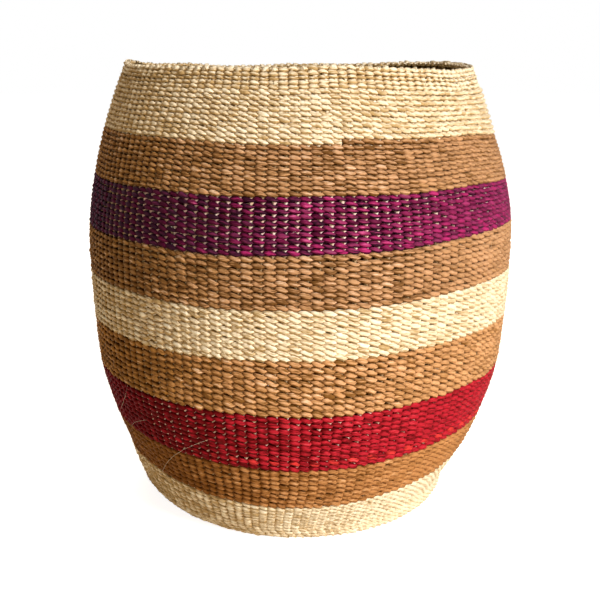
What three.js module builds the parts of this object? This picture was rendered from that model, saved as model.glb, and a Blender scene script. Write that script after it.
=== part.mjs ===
// A barrel-shaped cachepot of twined sisal. Bundles of warp cords run out from a start knot at the middle of
// the base, turn up at the foot and stand in the wall up to the folded rim. Each zone of the weave has two
// weft strands: strand a is drawn as the layer outside the warps and strand b as the layer inside them.
// Units are millimetres and +Z is up. The origin is the middle of the underside.
import * as THREE from "three";

// Outer shape. Heights add up along the axis, and radii are to the outside of the weave.
const BASE_RADIUS = 107; // where the underside and the slope of the foot would meet
const FOOT_CREAM_HEIGHT = 34.5;
const FOOT_CREAM_TOP_RADIUS = 123;
const FOOT_TAN_HEIGHT = 29;
const FOOT_TAN_TOP_RADIUS = 133.4;
const RED_HEIGHT = 39;
const RED_TOP_RADIUS = 142.5;
const LOWER_TAN_HEIGHT = 33.5;
const LOWER_TAN_TOP_RADIUS = 145;
const MIDDLE_CREAM_HEIGHT = 31;
const MIDDLE_CREAM_TOP_RADIUS = 146;
const UPPER_TAN_HEIGHT = 31.5;
const UPPER_TAN_TOP_RADIUS = 145.2;
const PURPLE_HEIGHT = 31.5;
const PURPLE_TOP_RADIUS = 139.8;
const TOP_TAN_HEIGHT = 28.5;
const TOP_TAN_TOP_RADIUS = 131.8;
const TOP_CREAM_HEIGHT = 27;
const TOP_CREAM_TOP_RADIUS = 121;
const RIM_ROWS_HEIGHT = 11.5;
const RIM_ROWS_TOP_RADIUS = 116;
const RIM_FOLD_HEIGHT = 4; // how far the turned-over warp ends stand above the last row, along the wall

// Wall, from the outside in: strand a, warp bundle, strand b.
const STRAND_THICKNESS = 2.1;
const CORD_THICKNESS = 2.7;
const CORD_WIDTH = 3.2;
const CORDS_PER_BUNDLE = 4;
const INNER_CORNER_RADIUS = 3; // inside the foot, between the floor and the wall
const KNOT_RADIUS = 20;
const CLEARANCE = 0.3; // between neighbours

// Counts. The weave has one facet for each bundle.
const BUNDLES = 34;
const CORNER_STEPS = 3;
const FOLD_STEPS = 5;

const CREAM = 0xdcc096;
const TAN = 0xaa7850;
const PURPLE = 0x8c2d5a;
const PLUM = 0x4b1937;
const RED = 0xa01e28;
const WARP_CREAM = 0xe6d2aa;
const SISAL_ROUGHNESS = 0.8;

const WARP_DEPTH = STRAND_THICKNESS + CLEARANCE;
const INNER_STRAND_DEPTH = WARP_DEPTH + CORD_THICKNESS + CLEARANCE;
const WALL_THICKNESS = INNER_STRAND_DEPTH + STRAND_THICKNESS;
const BUNDLE_WIDTH = CORDS_PER_BUNDLE * CORD_WIDTH;
const FACET_ANGLE = (2 * Math.PI) / BUNDLES;

// The zones of the wall from the foot up: height, radius at the top, and the colours of strands a and b.
const ZONES = [
  { name: "foot_cream", height: FOOT_CREAM_HEIGHT, top: FOOT_CREAM_TOP_RADIUS, a: CREAM, b: CREAM },
  { name: "foot_tan", height: FOOT_TAN_HEIGHT, top: FOOT_TAN_TOP_RADIUS, a: TAN, b: TAN },
  { name: "red", height: RED_HEIGHT, top: RED_TOP_RADIUS, a: RED, b: RED },
  { name: "lower_tan", height: LOWER_TAN_HEIGHT, top: LOWER_TAN_TOP_RADIUS, a: TAN, b: TAN },
  { name: "middle_cream", height: MIDDLE_CREAM_HEIGHT, top: MIDDLE_CREAM_TOP_RADIUS, a: CREAM, b: CREAM },
  { name: "upper_tan", height: UPPER_TAN_HEIGHT, top: UPPER_TAN_TOP_RADIUS, a: TAN, b: TAN },
  { name: "purple", height: PURPLE_HEIGHT, top: PURPLE_TOP_RADIUS, a: PURPLE, b: PLUM },
  { name: "top_tan", height: TOP_TAN_HEIGHT, top: TOP_TAN_TOP_RADIUS, a: TAN, b: TAN },
  { name: "top_cream", height: TOP_CREAM_HEIGHT, top: TOP_CREAM_TOP_RADIUS, a: CREAM, b: CREAM },
  { name: "rim", height: RIM_ROWS_HEIGHT, top: RIM_ROWS_TOP_RADIUS, a: CREAM, b: CREAM },
];

// The outside of the weave as points (radius, height): the edge of the start knot, the rounded corner of the
// foot, and the top of each zone.
function outerProfile() {
  const wall = [];
  let height = 0;
  for (const zone of ZONES) {
    height += zone.height;
    wall.push(new THREE.Vector2(zone.top, height));
  }
  const footSlope = Math.atan2(wall[0].y, wall[0].x - BASE_RADIUS);
  const cornerRadius = INNER_CORNER_RADIUS + WALL_THICKNESS;
  const flatEnd = BASE_RADIUS - cornerRadius * Math.tan(footSlope / 2);
  const corner = [];
  for (let step = 0; step <= CORNER_STEPS; step++) {
    const turn = (footSlope * step) / CORNER_STEPS;
    corner.push(
      new THREE.Vector2(flatEnd + cornerRadius * Math.sin(turn), cornerRadius * (1 - Math.cos(turn))),
    );
  }
  return [new THREE.Vector2(KNOT_RADIUS + CLEARANCE, 0), ...corner, ...wall];
}

// The unit vector that points into the wall, square to the step from one point of a profile to the next.
function inward(from, to) {
  const along = to.clone().sub(from).normalize();
  return new THREE.Vector2(-along.y, along.x);
}

// A profile moved into the wall by a depth, with mitred corners.
function offsetProfile(profile, depth) {
  const last = profile.length - 1;
  return profile.map((point, i) => {
    const before = inward(profile[Math.max(i - 1, 0)], profile[Math.max(i, 1)]);
    const after = inward(profile[Math.min(i, last - 1)], profile[Math.min(i + 1, last)]);
    const mitre = before.clone().add(after).divideScalar(1 + before.dot(after));
    return point.clone().addScaledVector(mitre, depth);
  });
}

// A run of points with its end drawn back, so that it stays clear of what follows.
function drawnBack(points) {
  const end = points.at(-1);
  const back = points.at(-2).clone().sub(end).setLength(CLEARANCE);
  return [...points.slice(0, -1), end.clone().add(back)];
}

// The section of one layer of weave between two points of the outer profile.
function layerSection(profile, first, last, depth) {
  const outer = drawnBack(offsetProfile(profile, depth).slice(first, last + 1));
  const inner = drawnBack(offsetProfile(profile, depth + STRAND_THICKNESS).slice(first, last + 1));
  return [...outer, ...inner.reverse()];
}

// A closed ring of the section, with one facet for each bundle.
function ringGeometry(section) {
  return new THREE.LatheGeometry([...section, section[0]], BUNDLES).rotateX(Math.PI / 2);
}

// The section of the turned-over warp ends: flat on the last row and round on top.
function foldSection(profile) {
  const outside = profile.at(-1);
  const inside = offsetProfile(profile, WALL_THICKNESS).at(-1);
  const upWall = outside.clone().sub(profile.at(-2)).normalize();
  const middle = outside.clone().add(inside).divideScalar(2);
  const halfWall = outside.clone().sub(middle);
  const section = [];
  for (let step = 0; step <= FOLD_STEPS; step++) {
    const angle = (Math.PI * step) / FOLD_STEPS;
    section.push(
      middle
        .clone()
        .addScaledVector(halfWall, Math.cos(angle))
        .addScaledVector(upWall, RIM_FOLD_HEIGHT * Math.sin(angle)),
    );
  }
  return section;
}

// The profile that a bundle follows: it has one more point on the base, where the bundle has its full width.
function bundleProfile(profile) {
  const fullWidthRadius = (BUNDLE_WIDTH + CLEARANCE) / 2 / Math.sin(FACET_ANGLE / 2);
  const [knotEdge, flatEnd] = profile;
  const widens = fullWidthRadius > knotEdge.x && fullWidthRadius < flatEnd.x;
  return widens ? [knotEdge, new THREE.Vector2(fullWidthRadius, 0), ...profile.slice(1)] : profile;
}

// One bundle of warp cords, laid side by side in the facet that faces -Y. Near the knot it narrows with it.
function bundleGeometry(profile) {
  const spine = bundleProfile(profile);
  const outer = drawnBack(offsetProfile(spine, WARP_DEPTH));
  const inner = drawnBack(offsetProfile(spine, WARP_DEPTH + CORD_THICKNESS));
  const flat = Math.cos(FACET_ANGLE / 2);
  const positions = [];
  spine.forEach((_, i) => {
    const facetHalf = Math.min(outer[i].x, inner[i].x) * Math.sin(FACET_ANGLE / 2);
    const half = Math.min(BUNDLE_WIDTH / 2, facetHalf - CLEARANCE / 2);
    for (const [side, edge] of [[-1, outer[i]], [1, outer[i]], [1, inner[i]], [-1, inner[i]]]) {
      positions.push(side * half, -edge.x * flat, edge.y);
    }
  });
  const corners = 4;
  const end = (spine.length - 1) * corners;
  const faces = [0, 2, 1, 0, 3, 2, end, end + 1, end + 2, end, end + 2, end + 3];
  for (let ring = 0; ring < end; ring += corners) {
    for (let corner = 0; corner < corners; corner++) {
      const here = ring + corner;
      const beside = ring + ((corner + 1) % corners);
      faces.push(here, beside, here + corners, beside, beside + corners, here + corners);
    }
  }
  const geometry = new THREE.BufferGeometry();
  geometry.setAttribute("position", new THREE.Float32BufferAttribute(positions, 3));
  geometry.setIndex(faces);
  geometry.computeVertexNormals();
  return geometry;
}

// The tied crossing of the bundles, as thick as the base.
function knotGeometry() {
  return new THREE.CylinderGeometry(KNOT_RADIUS, KNOT_RADIUS, WALL_THICKNESS, BUNDLES)
    .rotateX(Math.PI / 2)
    .translate(0, 0, WALL_THICKNESS / 2);
}

function sisalPiece(name, geometry, color) {
  const material = new THREE.MeshStandardMaterial({ color, roughness: SISAL_ROUGHNESS, metalness: 0 });
  const mesh = new THREE.Mesh(geometry, material);
  mesh.name = name;
  return mesh;
}

// Strands a and b of one zone.
function weftPair(profile, zone, first, last) {
  const outerLayer = ringGeometry(layerSection(profile, first, last, 0));
  const innerLayer = ringGeometry(layerSection(profile, first, last, INNER_STRAND_DEPTH));
  const pair = new THREE.Group();
  pair.add(sisalPiece(`${zone.name}_weft_a`, outerLayer, zone.a));
  pair.add(sisalPiece(`${zone.name}_weft_b`, innerLayer, zone.b));
  return pair;
}

function cachepot() {
  const profile = outerProfile();
  const pot = new THREE.Group();
  const base = { name: "base", a: CREAM, b: CREAM };
  pot.add(weftPair(profile, base, 0, 1));
  let first = 1;
  for (const zone of ZONES) {
    const last = first === 1 ? first + CORNER_STEPS + 1 : first + 1;
    pot.add(weftPair(profile, zone, first, last));
    first = last;
  }
  for (let i = 0; i < BUNDLES; i++) {
    const number = String(i + 1).padStart(2, "0");
    const bundle = sisalPiece(`warp_bundle_${number}`, bundleGeometry(profile), WARP_CREAM);
    bundle.rotation.z = (i + 0.5) * FACET_ANGLE;
    pot.add(bundle);
  }
  pot.add(sisalPiece("start_knot", knotGeometry(), CREAM));
  pot.add(sisalPiece("rim_fold", ringGeometry(foldSection(profile)), CREAM));
  return pot;
}

export default cachepot();
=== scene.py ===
"""A barrel-shaped cachepot of hand-twined sisal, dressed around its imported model.

Warp cords run out from a start knot under the base, turn up at the foot and fold over at the rim. Each
row is a pair of weft strands that swap between the outside and the inside of the wall after every warp.
All the rows lie on one spiral that rises to the left, and a new pair of strands starts at each change of
colour. Units are metres, +Z is up and the front faces -Y. Angles run from the front towards +X.
"""

import logging
import math
from dataclasses import dataclass, field
from enum import Enum

import bpy
import numpy as np
from mathutils import Euler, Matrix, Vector


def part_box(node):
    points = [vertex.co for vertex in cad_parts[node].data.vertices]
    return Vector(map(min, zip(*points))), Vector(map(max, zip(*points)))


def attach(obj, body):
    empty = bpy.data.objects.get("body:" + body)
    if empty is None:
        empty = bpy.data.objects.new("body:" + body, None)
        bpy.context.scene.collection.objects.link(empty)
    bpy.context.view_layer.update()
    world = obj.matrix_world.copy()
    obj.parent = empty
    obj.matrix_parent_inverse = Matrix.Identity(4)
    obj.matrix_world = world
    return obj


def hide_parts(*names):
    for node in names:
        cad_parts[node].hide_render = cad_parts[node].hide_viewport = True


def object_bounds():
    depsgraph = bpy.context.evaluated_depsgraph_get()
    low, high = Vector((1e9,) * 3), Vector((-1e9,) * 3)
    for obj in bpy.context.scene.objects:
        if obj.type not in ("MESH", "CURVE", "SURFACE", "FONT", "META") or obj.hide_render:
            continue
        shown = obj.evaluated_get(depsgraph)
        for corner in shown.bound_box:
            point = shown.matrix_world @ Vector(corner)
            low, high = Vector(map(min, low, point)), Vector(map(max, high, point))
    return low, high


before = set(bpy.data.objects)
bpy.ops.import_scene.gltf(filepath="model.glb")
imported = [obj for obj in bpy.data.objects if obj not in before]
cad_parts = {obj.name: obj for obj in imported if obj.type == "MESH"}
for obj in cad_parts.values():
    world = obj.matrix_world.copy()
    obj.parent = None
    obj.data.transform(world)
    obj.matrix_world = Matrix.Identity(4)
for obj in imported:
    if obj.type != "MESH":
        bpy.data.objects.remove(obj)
CAD_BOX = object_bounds()

LOG = logging.getLogger("cachepot")
MM = 0.001
TURN = 2 * math.pi
BODY = "root"
BUNDLE_NODES = sorted(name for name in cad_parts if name.startswith("warp_bundle_"))
CORDS_PER_BUNDLE = 4
WARPS = CORDS_PER_BUNDLE * len(BUNDLE_NODES)
SIDES = 6  # of the section of a strand
OUTSIDE_STEPS = 6  # sections of a stitch that lies outside the wall
INSIDE_STEPS = 4  # sections of a stitch that lies inside it
SISAL_SPECULAR = 0.05
FIBRE_BUMP = 0.7
FIBRE_DEPTH = 0.4 * MM
MERGE_DISTANCE = 0.001 * MM  # within which two points of a modelled shape are one

# Where a side of the pot begins and where it is reached, as the sine of the angle towards that side.
LEFT_SIDE = (0.35, 0.80)
LEFT_EDGE = (0.78, 0.92)
RIGHT_SIDE = (0.2, 0.7)
RIGHT_HALF = (-0.5, 0.5)

Colour = tuple[float, float, float]


def smooth_step(value: np.ndarray) -> np.ndarray:
    """Eases from 0 to 1 as the value goes from 0 to 1."""
    held = np.clip(value, 0.0, 1.0)
    return held * held * (3.0 - 2.0 * held)


def ramp(value: np.ndarray, span: tuple[float, float]) -> np.ndarray:
    """Eases from 0 to 1 as the value goes from the start of a span to its end."""
    return smooth_step((value - span[0]) / (span[1] - span[0]))


def unit(vectors: np.ndarray) -> np.ndarray:
    """The vectors of the last axis at length 1."""
    return vectors / np.maximum(np.linalg.norm(vectors, axis=-1, keepdims=True), 1e-12)


def smooth_curve(points: np.ndarray, samples: int) -> np.ndarray:
    """Draws a smooth curve through points.

    Args:
        points: the points in order, one to a row.
        samples: how many points the curve gets.

    Returns:
        The points of the curve, one to a row.
    """
    lengths = np.linalg.norm(np.diff(points, axis=0), axis=1)
    knots = np.concatenate(([0.0], np.cumsum(lengths)))
    slopes = np.gradient(points, knots, axis=0)
    where = np.linspace(0.0, knots[-1], samples)
    i = np.clip(np.searchsorted(knots, where, side="right") - 1, 0, len(knots) - 2)
    width = (knots[i + 1] - knots[i])[:, None]
    x = (where - knots[i])[:, None] / width
    return (
        (1 + 2 * x) * (1 - x) ** 2 * points[i]
        + x * (1 - x) ** 2 * width * slopes[i]
        + x * x * (3 - 2 * x) * points[i + 1]
        + x * x * (x - 1) * width * slopes[i + 1]
    )


class Weft(Enum):
    """The two strands of a row."""

    A = "a"
    B = "b"


@dataclass(frozen=True)
class SisalFinish:
    """One dye of sisal.

    Attributes:
        name: the name of the material.
        slot: the material slot of the record that it stands for.
        dye: the main colour.
        second: a second dye, which a strand takes in places, and which also carries painted shade or light.
        deep: the colour of the shaded fibres.
        pale: the colour of the brightest fibres.
    """

    name: str
    slot: str
    dye: Colour
    second: Colour
    deep: Colour
    pale: Colour

    def material(self) -> bpy.types.Material:
        """The material of this finish, made at its first use."""
        made = bpy.data.materials.get(self.name)
        return made if made else self.build()

    def build(self) -> bpy.types.Material:
        """Makes the material.

        Returns:
            A material with the fibre group feeding one shader.
        """
        material = bpy.data.materials.new(self.name)
        material.use_nodes = True
        tree = material.node_tree
        shader = tree.nodes["Principled BSDF"]
        shader.inputs["Specular IOR Level"].default_value = SISAL_SPECULAR
        share = tree.nodes.new("ShaderNodeAttribute")
        share.attribute_name = "second_dye_and_painted_light"
        dyes = tree.nodes.new("ShaderNodeMix")
        dyes.data_type = "RGBA"
        dyes.inputs["A"].default_value = (*self.dye, 1.0)
        dyes.inputs["B"].default_value = (*self.second, 1.0)
        tree.links.new(share.outputs["Fac"], dyes.inputs["Factor"])
        fibre = tree.nodes.new("ShaderNodeGroup")
        fibre.node_tree = FibreGroup().tree()
        fibre.inputs["Deep"].default_value = (*self.deep, 1.0)
        fibre.inputs["Pale"].default_value = (*self.pale, 1.0)
        bump = tree.nodes.new("ShaderNodeBump")
        bump.inputs["Strength"].default_value = FIBRE_BUMP
        bump.inputs["Distance"].default_value = FIBRE_DEPTH
        tree.links.new(dyes.outputs["Result"], fibre.inputs["Dye"])
        tree.links.new(fibre.outputs["Colour"], shader.inputs["Base Color"])
        tree.links.new(fibre.outputs["Roughness"], shader.inputs["Roughness"])
        tree.links.new(fibre.outputs["Height"], bump.inputs["Height"])
        tree.links.new(bump.outputs["Normal"], shader.inputs["Normal"])
        return material


@dataclass
class FibreGroup:
    """The shader group of fibres that lie along a strand, shared by all the finishes.

    Attributes:
        name: the name of the group.
        strand_twist: turns that the fibres make around the strand in one stitch.
        coarse_scale: cells of the coarse streaks to a stitch, and to a turn around the strand.
        fine_scale: the same for the fine streaks.
        streak_detail: how many finer layers of noise the streaks have.
        streak_roughness: how strong each of those layers is, as a share of the one before.
        streak_gain: how much the streaks change the lightness.
        patch_scale: patches of darker and lighter fibre to a metre.
        patch_detail: how many finer layers of noise the patches have.
        patch_gain: how much the patches change the lightness.
        deep_span: the lightness over which the deep colour turns to the dye.
        pale_span: the lightness over which the dye turns to the pale colour.
        fine_height: the height of the fine streaks, as a share of the height of the coarse ones.
        roughness: the least roughness.
        roughness_range: how much rougher the highest streaks are.
    """

    name: str = "sisal_fibre"
    strand_twist: float = 0.12
    coarse_scale: tuple[float, float] = (0.5, 5.5)
    fine_scale: tuple[float, float] = (1.2, 16.0)
    streak_detail: float = 2.0
    streak_roughness: float = 0.6
    streak_gain: float = 2.4
    patch_scale: float = 60.0
    patch_detail: float = 3.0
    patch_gain: float = 0.6
    deep_span: tuple[float, float] = (-0.75, 0.05)
    pale_span: tuple[float, float] = (0.05, 0.75)
    fine_height: float = 0.7
    roughness: float = 0.45
    roughness_range: float = 0.3

    def tree(self) -> bpy.types.NodeTree:
        """The group, made at its first use."""
        made = bpy.data.node_groups.get(self.name)
        return made if made else self.build()

    def math_node(self, tree: bpy.types.NodeTree, operation: str, *values: object) -> bpy.types.NodeSocket:
        """Adds a math node.

        Args:
            tree: the group.
            operation: what the node does.
            values: its numbers and sockets, in order.

        Returns:
            The node's output.
        """
        node = tree.nodes.new("ShaderNodeMath")
        node.operation = operation
        for socket, value in zip(node.inputs, values):
            if isinstance(value, float):
                socket.default_value = value
            else:
                tree.links.new(value, socket)
        return node.outputs[0]

    def centred(
        self, tree: bpy.types.NodeTree, noise: bpy.types.NodeSocket, gain: float
    ) -> bpy.types.NodeSocket:
        """Adds a node that stretches a noise by a gain, to lie evenly about 0."""
        return self.math_node(tree, "MULTIPLY_ADD", noise, gain, -0.5 * gain)

    def streaks(
        self,
        tree: bpy.types.NodeTree,
        along: bpy.types.NodeSocket,
        around: bpy.types.NodeSocket,
        scale: tuple[float, float],
    ) -> bpy.types.NodeSocket:
        """Adds a noise that is stretched along the strand.

        Args:
            tree: the group.
            along: stitches from the strand's start.
            around: turns around the strand.
            scale: noise cells to a stitch, and to a turn.

        Returns:
            The noise, from 0 to 1.
        """
        place = tree.nodes.new("ShaderNodeCombineXYZ")
        tree.links.new(self.math_node(tree, "MULTIPLY", along, scale[0]), place.inputs["X"])
        tree.links.new(self.math_node(tree, "MULTIPLY", around, scale[1]), place.inputs["Y"])
        noise = tree.nodes.new("ShaderNodeTexNoise")
        noise.inputs["Scale"].default_value = 1.0
        noise.inputs["Detail"].default_value = self.streak_detail
        noise.inputs["Roughness"].default_value = self.streak_roughness
        tree.links.new(place.outputs["Vector"], noise.inputs["Vector"])
        return noise.outputs["Fac"]

    def blend(
        self,
        tree: bpy.types.NodeTree,
        light: bpy.types.NodeSocket,
        span: tuple[float, float],
        low: bpy.types.NodeSocket,
        high: bpy.types.NodeSocket,
    ) -> bpy.types.NodeSocket:
        """Mixes two colours by lightness.

        Args:
            tree: the group.
            light: the lightness of the fibre.
            span: the lightness at which the mix starts and ends.
            low: the colour below the span.
            high: the colour above it.

        Returns:
            The mixed colour.
        """
        share = tree.nodes.new("ShaderNodeMapRange")
        share.interpolation_type = "SMOOTHSTEP"
        share.inputs["From Min"].default_value = span[0]
        share.inputs["From Max"].default_value = span[1]
        tree.links.new(light, share.inputs["Value"])
        mix = tree.nodes.new("ShaderNodeMix")
        mix.data_type = "RGBA"
        tree.links.new(share.outputs["Result"], mix.inputs["Factor"])
        tree.links.new(low, mix.inputs["A"])
        tree.links.new(high, mix.inputs["B"])
        return mix.outputs["Result"]

    def fibres(self, tree: bpy.types.NodeTree) -> tuple[bpy.types.NodeSocket, bpy.types.NodeSocket]:
        """Adds the coarse and the fine streaks, which wind around the strand.

        Args:
            tree: the group.

        Returns:
            The two noises.
        """
        strand = tree.nodes.new("ShaderNodeUVMap")
        strand.uv_map = "strand"
        parts = tree.nodes.new("ShaderNodeSeparateXYZ")
        tree.links.new(strand.outputs["UV"], parts.inputs["Vector"])
        along = parts.outputs["X"]
        turned = self.math_node(tree, "MULTIPLY", along, self.strand_twist)
        around = self.math_node(tree, "ADD", parts.outputs["Y"], turned)
        coarse = self.streaks(tree, along, around, self.coarse_scale)
        fine = self.streaks(tree, along, around, self.fine_scale)
        return coarse, fine

    def lightness(
        self, tree: bpy.types.NodeTree, coarse: bpy.types.NodeSocket, fine: bpy.types.NodeSocket
    ) -> bpy.types.NodeSocket:
        """Adds up the streaks and the patches, at the strand's contrast, and the strand's tone.

        Args:
            tree: the group.
            coarse: the coarse streaks.
            fine: the fine streaks.

        Returns:
            The lightness of the fibre, which is 0 for the plain dye.
        """
        place = tree.nodes.new("ShaderNodeTexCoord")
        patch = tree.nodes.new("ShaderNodeTexNoise")
        patch.inputs["Scale"].default_value = self.patch_scale
        patch.inputs["Detail"].default_value = self.patch_detail
        tree.links.new(place.outputs["Object"], patch.inputs["Vector"])
        tone = tree.nodes.new("ShaderNodeAttribute")
        tone.attribute_name = "tone"
        contrast = tree.nodes.new("ShaderNodeAttribute")
        contrast.attribute_name = "contrast"
        light = self.centred(tree, coarse, self.streak_gain)
        light = self.math_node(tree, "ADD", light, self.centred(tree, fine, self.streak_gain))
        patchy = self.centred(tree, patch.outputs["Fac"], self.patch_gain)
        light = self.math_node(tree, "ADD", light, patchy)
        light = self.math_node(tree, "MULTIPLY", light, contrast.outputs["Fac"])
        return self.math_node(tree, "ADD", light, tone.outputs["Fac"])

    def build(self) -> bpy.types.NodeTree:
        """Makes the group.

        Returns:
            The node group, with the colours in and colour, roughness and height out.
        """
        tree = bpy.data.node_groups.new(self.name, "ShaderNodeTree")
        for name in ("Dye", "Deep", "Pale"):
            tree.interface.new_socket(name=name, in_out="INPUT", socket_type="NodeSocketColor")
        tree.interface.new_socket(name="Colour", in_out="OUTPUT", socket_type="NodeSocketColor")
        for name in ("Roughness", "Height"):
            tree.interface.new_socket(name=name, in_out="OUTPUT", socket_type="NodeSocketFloat")
        given = tree.nodes.new("NodeGroupInput")
        result = tree.nodes.new("NodeGroupOutput")
        coarse, fine = self.fibres(tree)
        light = self.lightness(tree, coarse, fine)
        lower = self.blend(tree, light, self.deep_span, given.outputs["Deep"], given.outputs["Dye"])
        colour = self.blend(tree, light, self.pale_span, lower, given.outputs["Pale"])
        finer = self.math_node(tree, "MULTIPLY", fine, self.fine_height)
        height = self.math_node(tree, "ADD", coarse, finer)
        rough = self.math_node(tree, "MULTIPLY_ADD", coarse, self.roughness_range, self.roughness)
        tree.links.new(colour, result.inputs["Colour"])
        tree.links.new(rough, result.inputs["Roughness"])
        tree.links.new(height, result.inputs["Height"])
        return tree


CREAM = SisalFinish(
    name="cream_twine", slot="cream_sisal",
    dye=(0.91, 0.79, 0.58), second=(0.85, 0.69, 0.46),
    deep=(0.48, 0.32, 0.14), pale=(0.97, 0.91, 0.75),
)
# A copy of the cream with a far darker deep colour, so that the painted shade inside the pot goes darker.
SHADED_RIM_CREAM = SisalFinish(
    name="shaded_rim_twine", slot="cream_sisal",
    dye=(0.91, 0.79, 0.58), second=(0.85, 0.69, 0.46),
    deep=(0.20, 0.13, 0.05), pale=(0.97, 0.91, 0.75),
)
# The tans' second colours are darker tans, taken at random and as painted shade away from the window lamp.
TAN = SisalFinish(
    name="tan_twine", slot="tan_sisal",
    dye=(0.55, 0.300, 0.150), second=(0.36, 0.175, 0.048),
    deep=(0.15, 0.064, 0.016), pale=(0.77, 0.53, 0.35),
)
GOLDEN_TAN = SisalFinish(
    name="golden_tan_twine", slot="tan_sisal",
    dye=(0.66, 0.350, 0.160), second=(0.43, 0.195, 0.042),
    deep=(0.20, 0.085, 0.018), pale=(0.84, 0.57, 0.36),
)
AMBER_TAN = SisalFinish(
    name="amber_tan_twine", slot="tan_sisal",
    dye=(0.53, 0.245, 0.088), second=(0.27, 0.105, 0.014),
    deep=(0.18, 0.064, 0.010), pale=(0.73, 0.44, 0.22),
)
# Magenta's second colour is a dark shade of it, taken at random, row by row and as painted shade away from
# the lamp.
MAGENTA = SisalFinish(
    name="magenta_twine", slot="purple_sisal",
    dye=(0.43, 0.024, 0.140), second=(0.055, 0.007, 0.022),
    deep=(0.06, 0.003, 0.020), pale=(0.66, 0.11, 0.29),
)
# Plum's second colour is a bright magenta, taken at random and as painted light towards the window lamp.
PLUM = SisalFinish(
    name="plum_twine", slot="plum_sisal",
    dye=(0.100, 0.016, 0.050), second=(0.33, 0.030, 0.120),
    deep=(0.026, 0.004, 0.014), pale=(0.26, 0.060, 0.130),
)
# Red's second colour is a bright scarlet for a stretch of the lowest rows, lessened as painted shade away
# from the lamp.
RED = SisalFinish(
    name="red_twine", slot="red_sisal",
    dye=(0.47, 0.014, 0.028), second=(0.74, 0.044, 0.040),
    deep=(0.12, 0.002, 0.003), pale=(0.76, 0.090, 0.120),
)
WARP_CREAM = SisalFinish(
    name="warp_twine", slot="warp_sisal",
    dye=(0.93, 0.83, 0.64), second=(0.88, 0.62, 0.56),
    deep=(0.60, 0.42, 0.23), pale=(0.97, 0.92, 0.80),
)


@dataclass(frozen=True)
class Zone:
    """A stretch of the spiral that is woven with one pair of strands.

    Attributes:
        name: the start of its nodes' names.
        rows: how many rows it has at the front.
        join: the angle at which its strands end, in degrees.
        fullness: the height of a stitch as a share of the row.
        finish_a: the finish of strand a.
        finish_b: the finish of strand b.
        crossing: how far out its strands cross, as a share of the usual distance.
        away_side_shade: painted shade: how much darker its strands are away from the window lamp, or
            lighter below 0.
        columns: how clearly its stitches stand in columns all round, as others do on the left side.
        calm: how flat and even its stitches lie, above all on the right side.
        right_darkening: how much darker its strands are on the right side.
    """

    name: str
    rows: int
    join: float
    fullness: float
    finish_a: SisalFinish
    finish_b: SisalFinish
    crossing: float = 1.0
    away_side_shade: float = 0.0
    columns: float = 0.0
    calm: float = 0.0
    right_darkening: float = 0.0

    def finish(self, weft: Weft) -> SisalFinish:
        """The finish of one of its strands."""
        return self.finish_a if weft is Weft.A else self.finish_b


ZONES = (
    Zone("base", rows=25, join=150, fullness=1.35, finish_a=CREAM, finish_b=CREAM),
    Zone("foot_cream", rows=12, join=128, fullness=1.1, finish_a=CREAM, finish_b=CREAM,
         away_side_shade=0.3, columns=0.85, calm=1.0),
    Zone("foot_tan", rows=8, join=-150, fullness=1.08, finish_a=AMBER_TAN, finish_b=AMBER_TAN,
         away_side_shade=0.5, columns=0.85, calm=0.8),
    Zone("red", rows=10, join=170, fullness=1.02, finish_a=RED, finish_b=RED,
         away_side_shade=0.8, columns=0.75, calm=0.6, right_darkening=0.1),
    Zone("lower_tan", rows=9, join=-118, fullness=1.06, finish_a=GOLDEN_TAN, finish_b=GOLDEN_TAN,
         columns=0.3, right_darkening=0.12),
    Zone("middle_cream", rows=9, join=140, fullness=1.08, finish_a=CREAM, finish_b=CREAM,
         right_darkening=0.18),
    Zone("upper_tan", rows=9, join=-165, fullness=1.05, finish_a=TAN, finish_b=TAN,
         columns=0.3, right_darkening=0.04),
    Zone("purple", rows=10, join=115, fullness=0.97, finish_a=MAGENTA, finish_b=PLUM,
         away_side_shade=0.7, columns=0.4, right_darkening=0.12),
    Zone("top_tan", rows=10, join=10, fullness=1.06, finish_a=TAN, finish_b=TAN,
         away_side_shade=-0.2, columns=0.3, right_darkening=0.15),
    Zone("top_cream", rows=10, join=160, fullness=1.08, finish_a=CREAM, finish_b=CREAM,
         right_darkening=0.25),
    Zone("rim", rows=5, join=175, fullness=1.1, finish_a=CREAM, finish_b=CREAM, crossing=0.8, columns=0.7),
)


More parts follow.
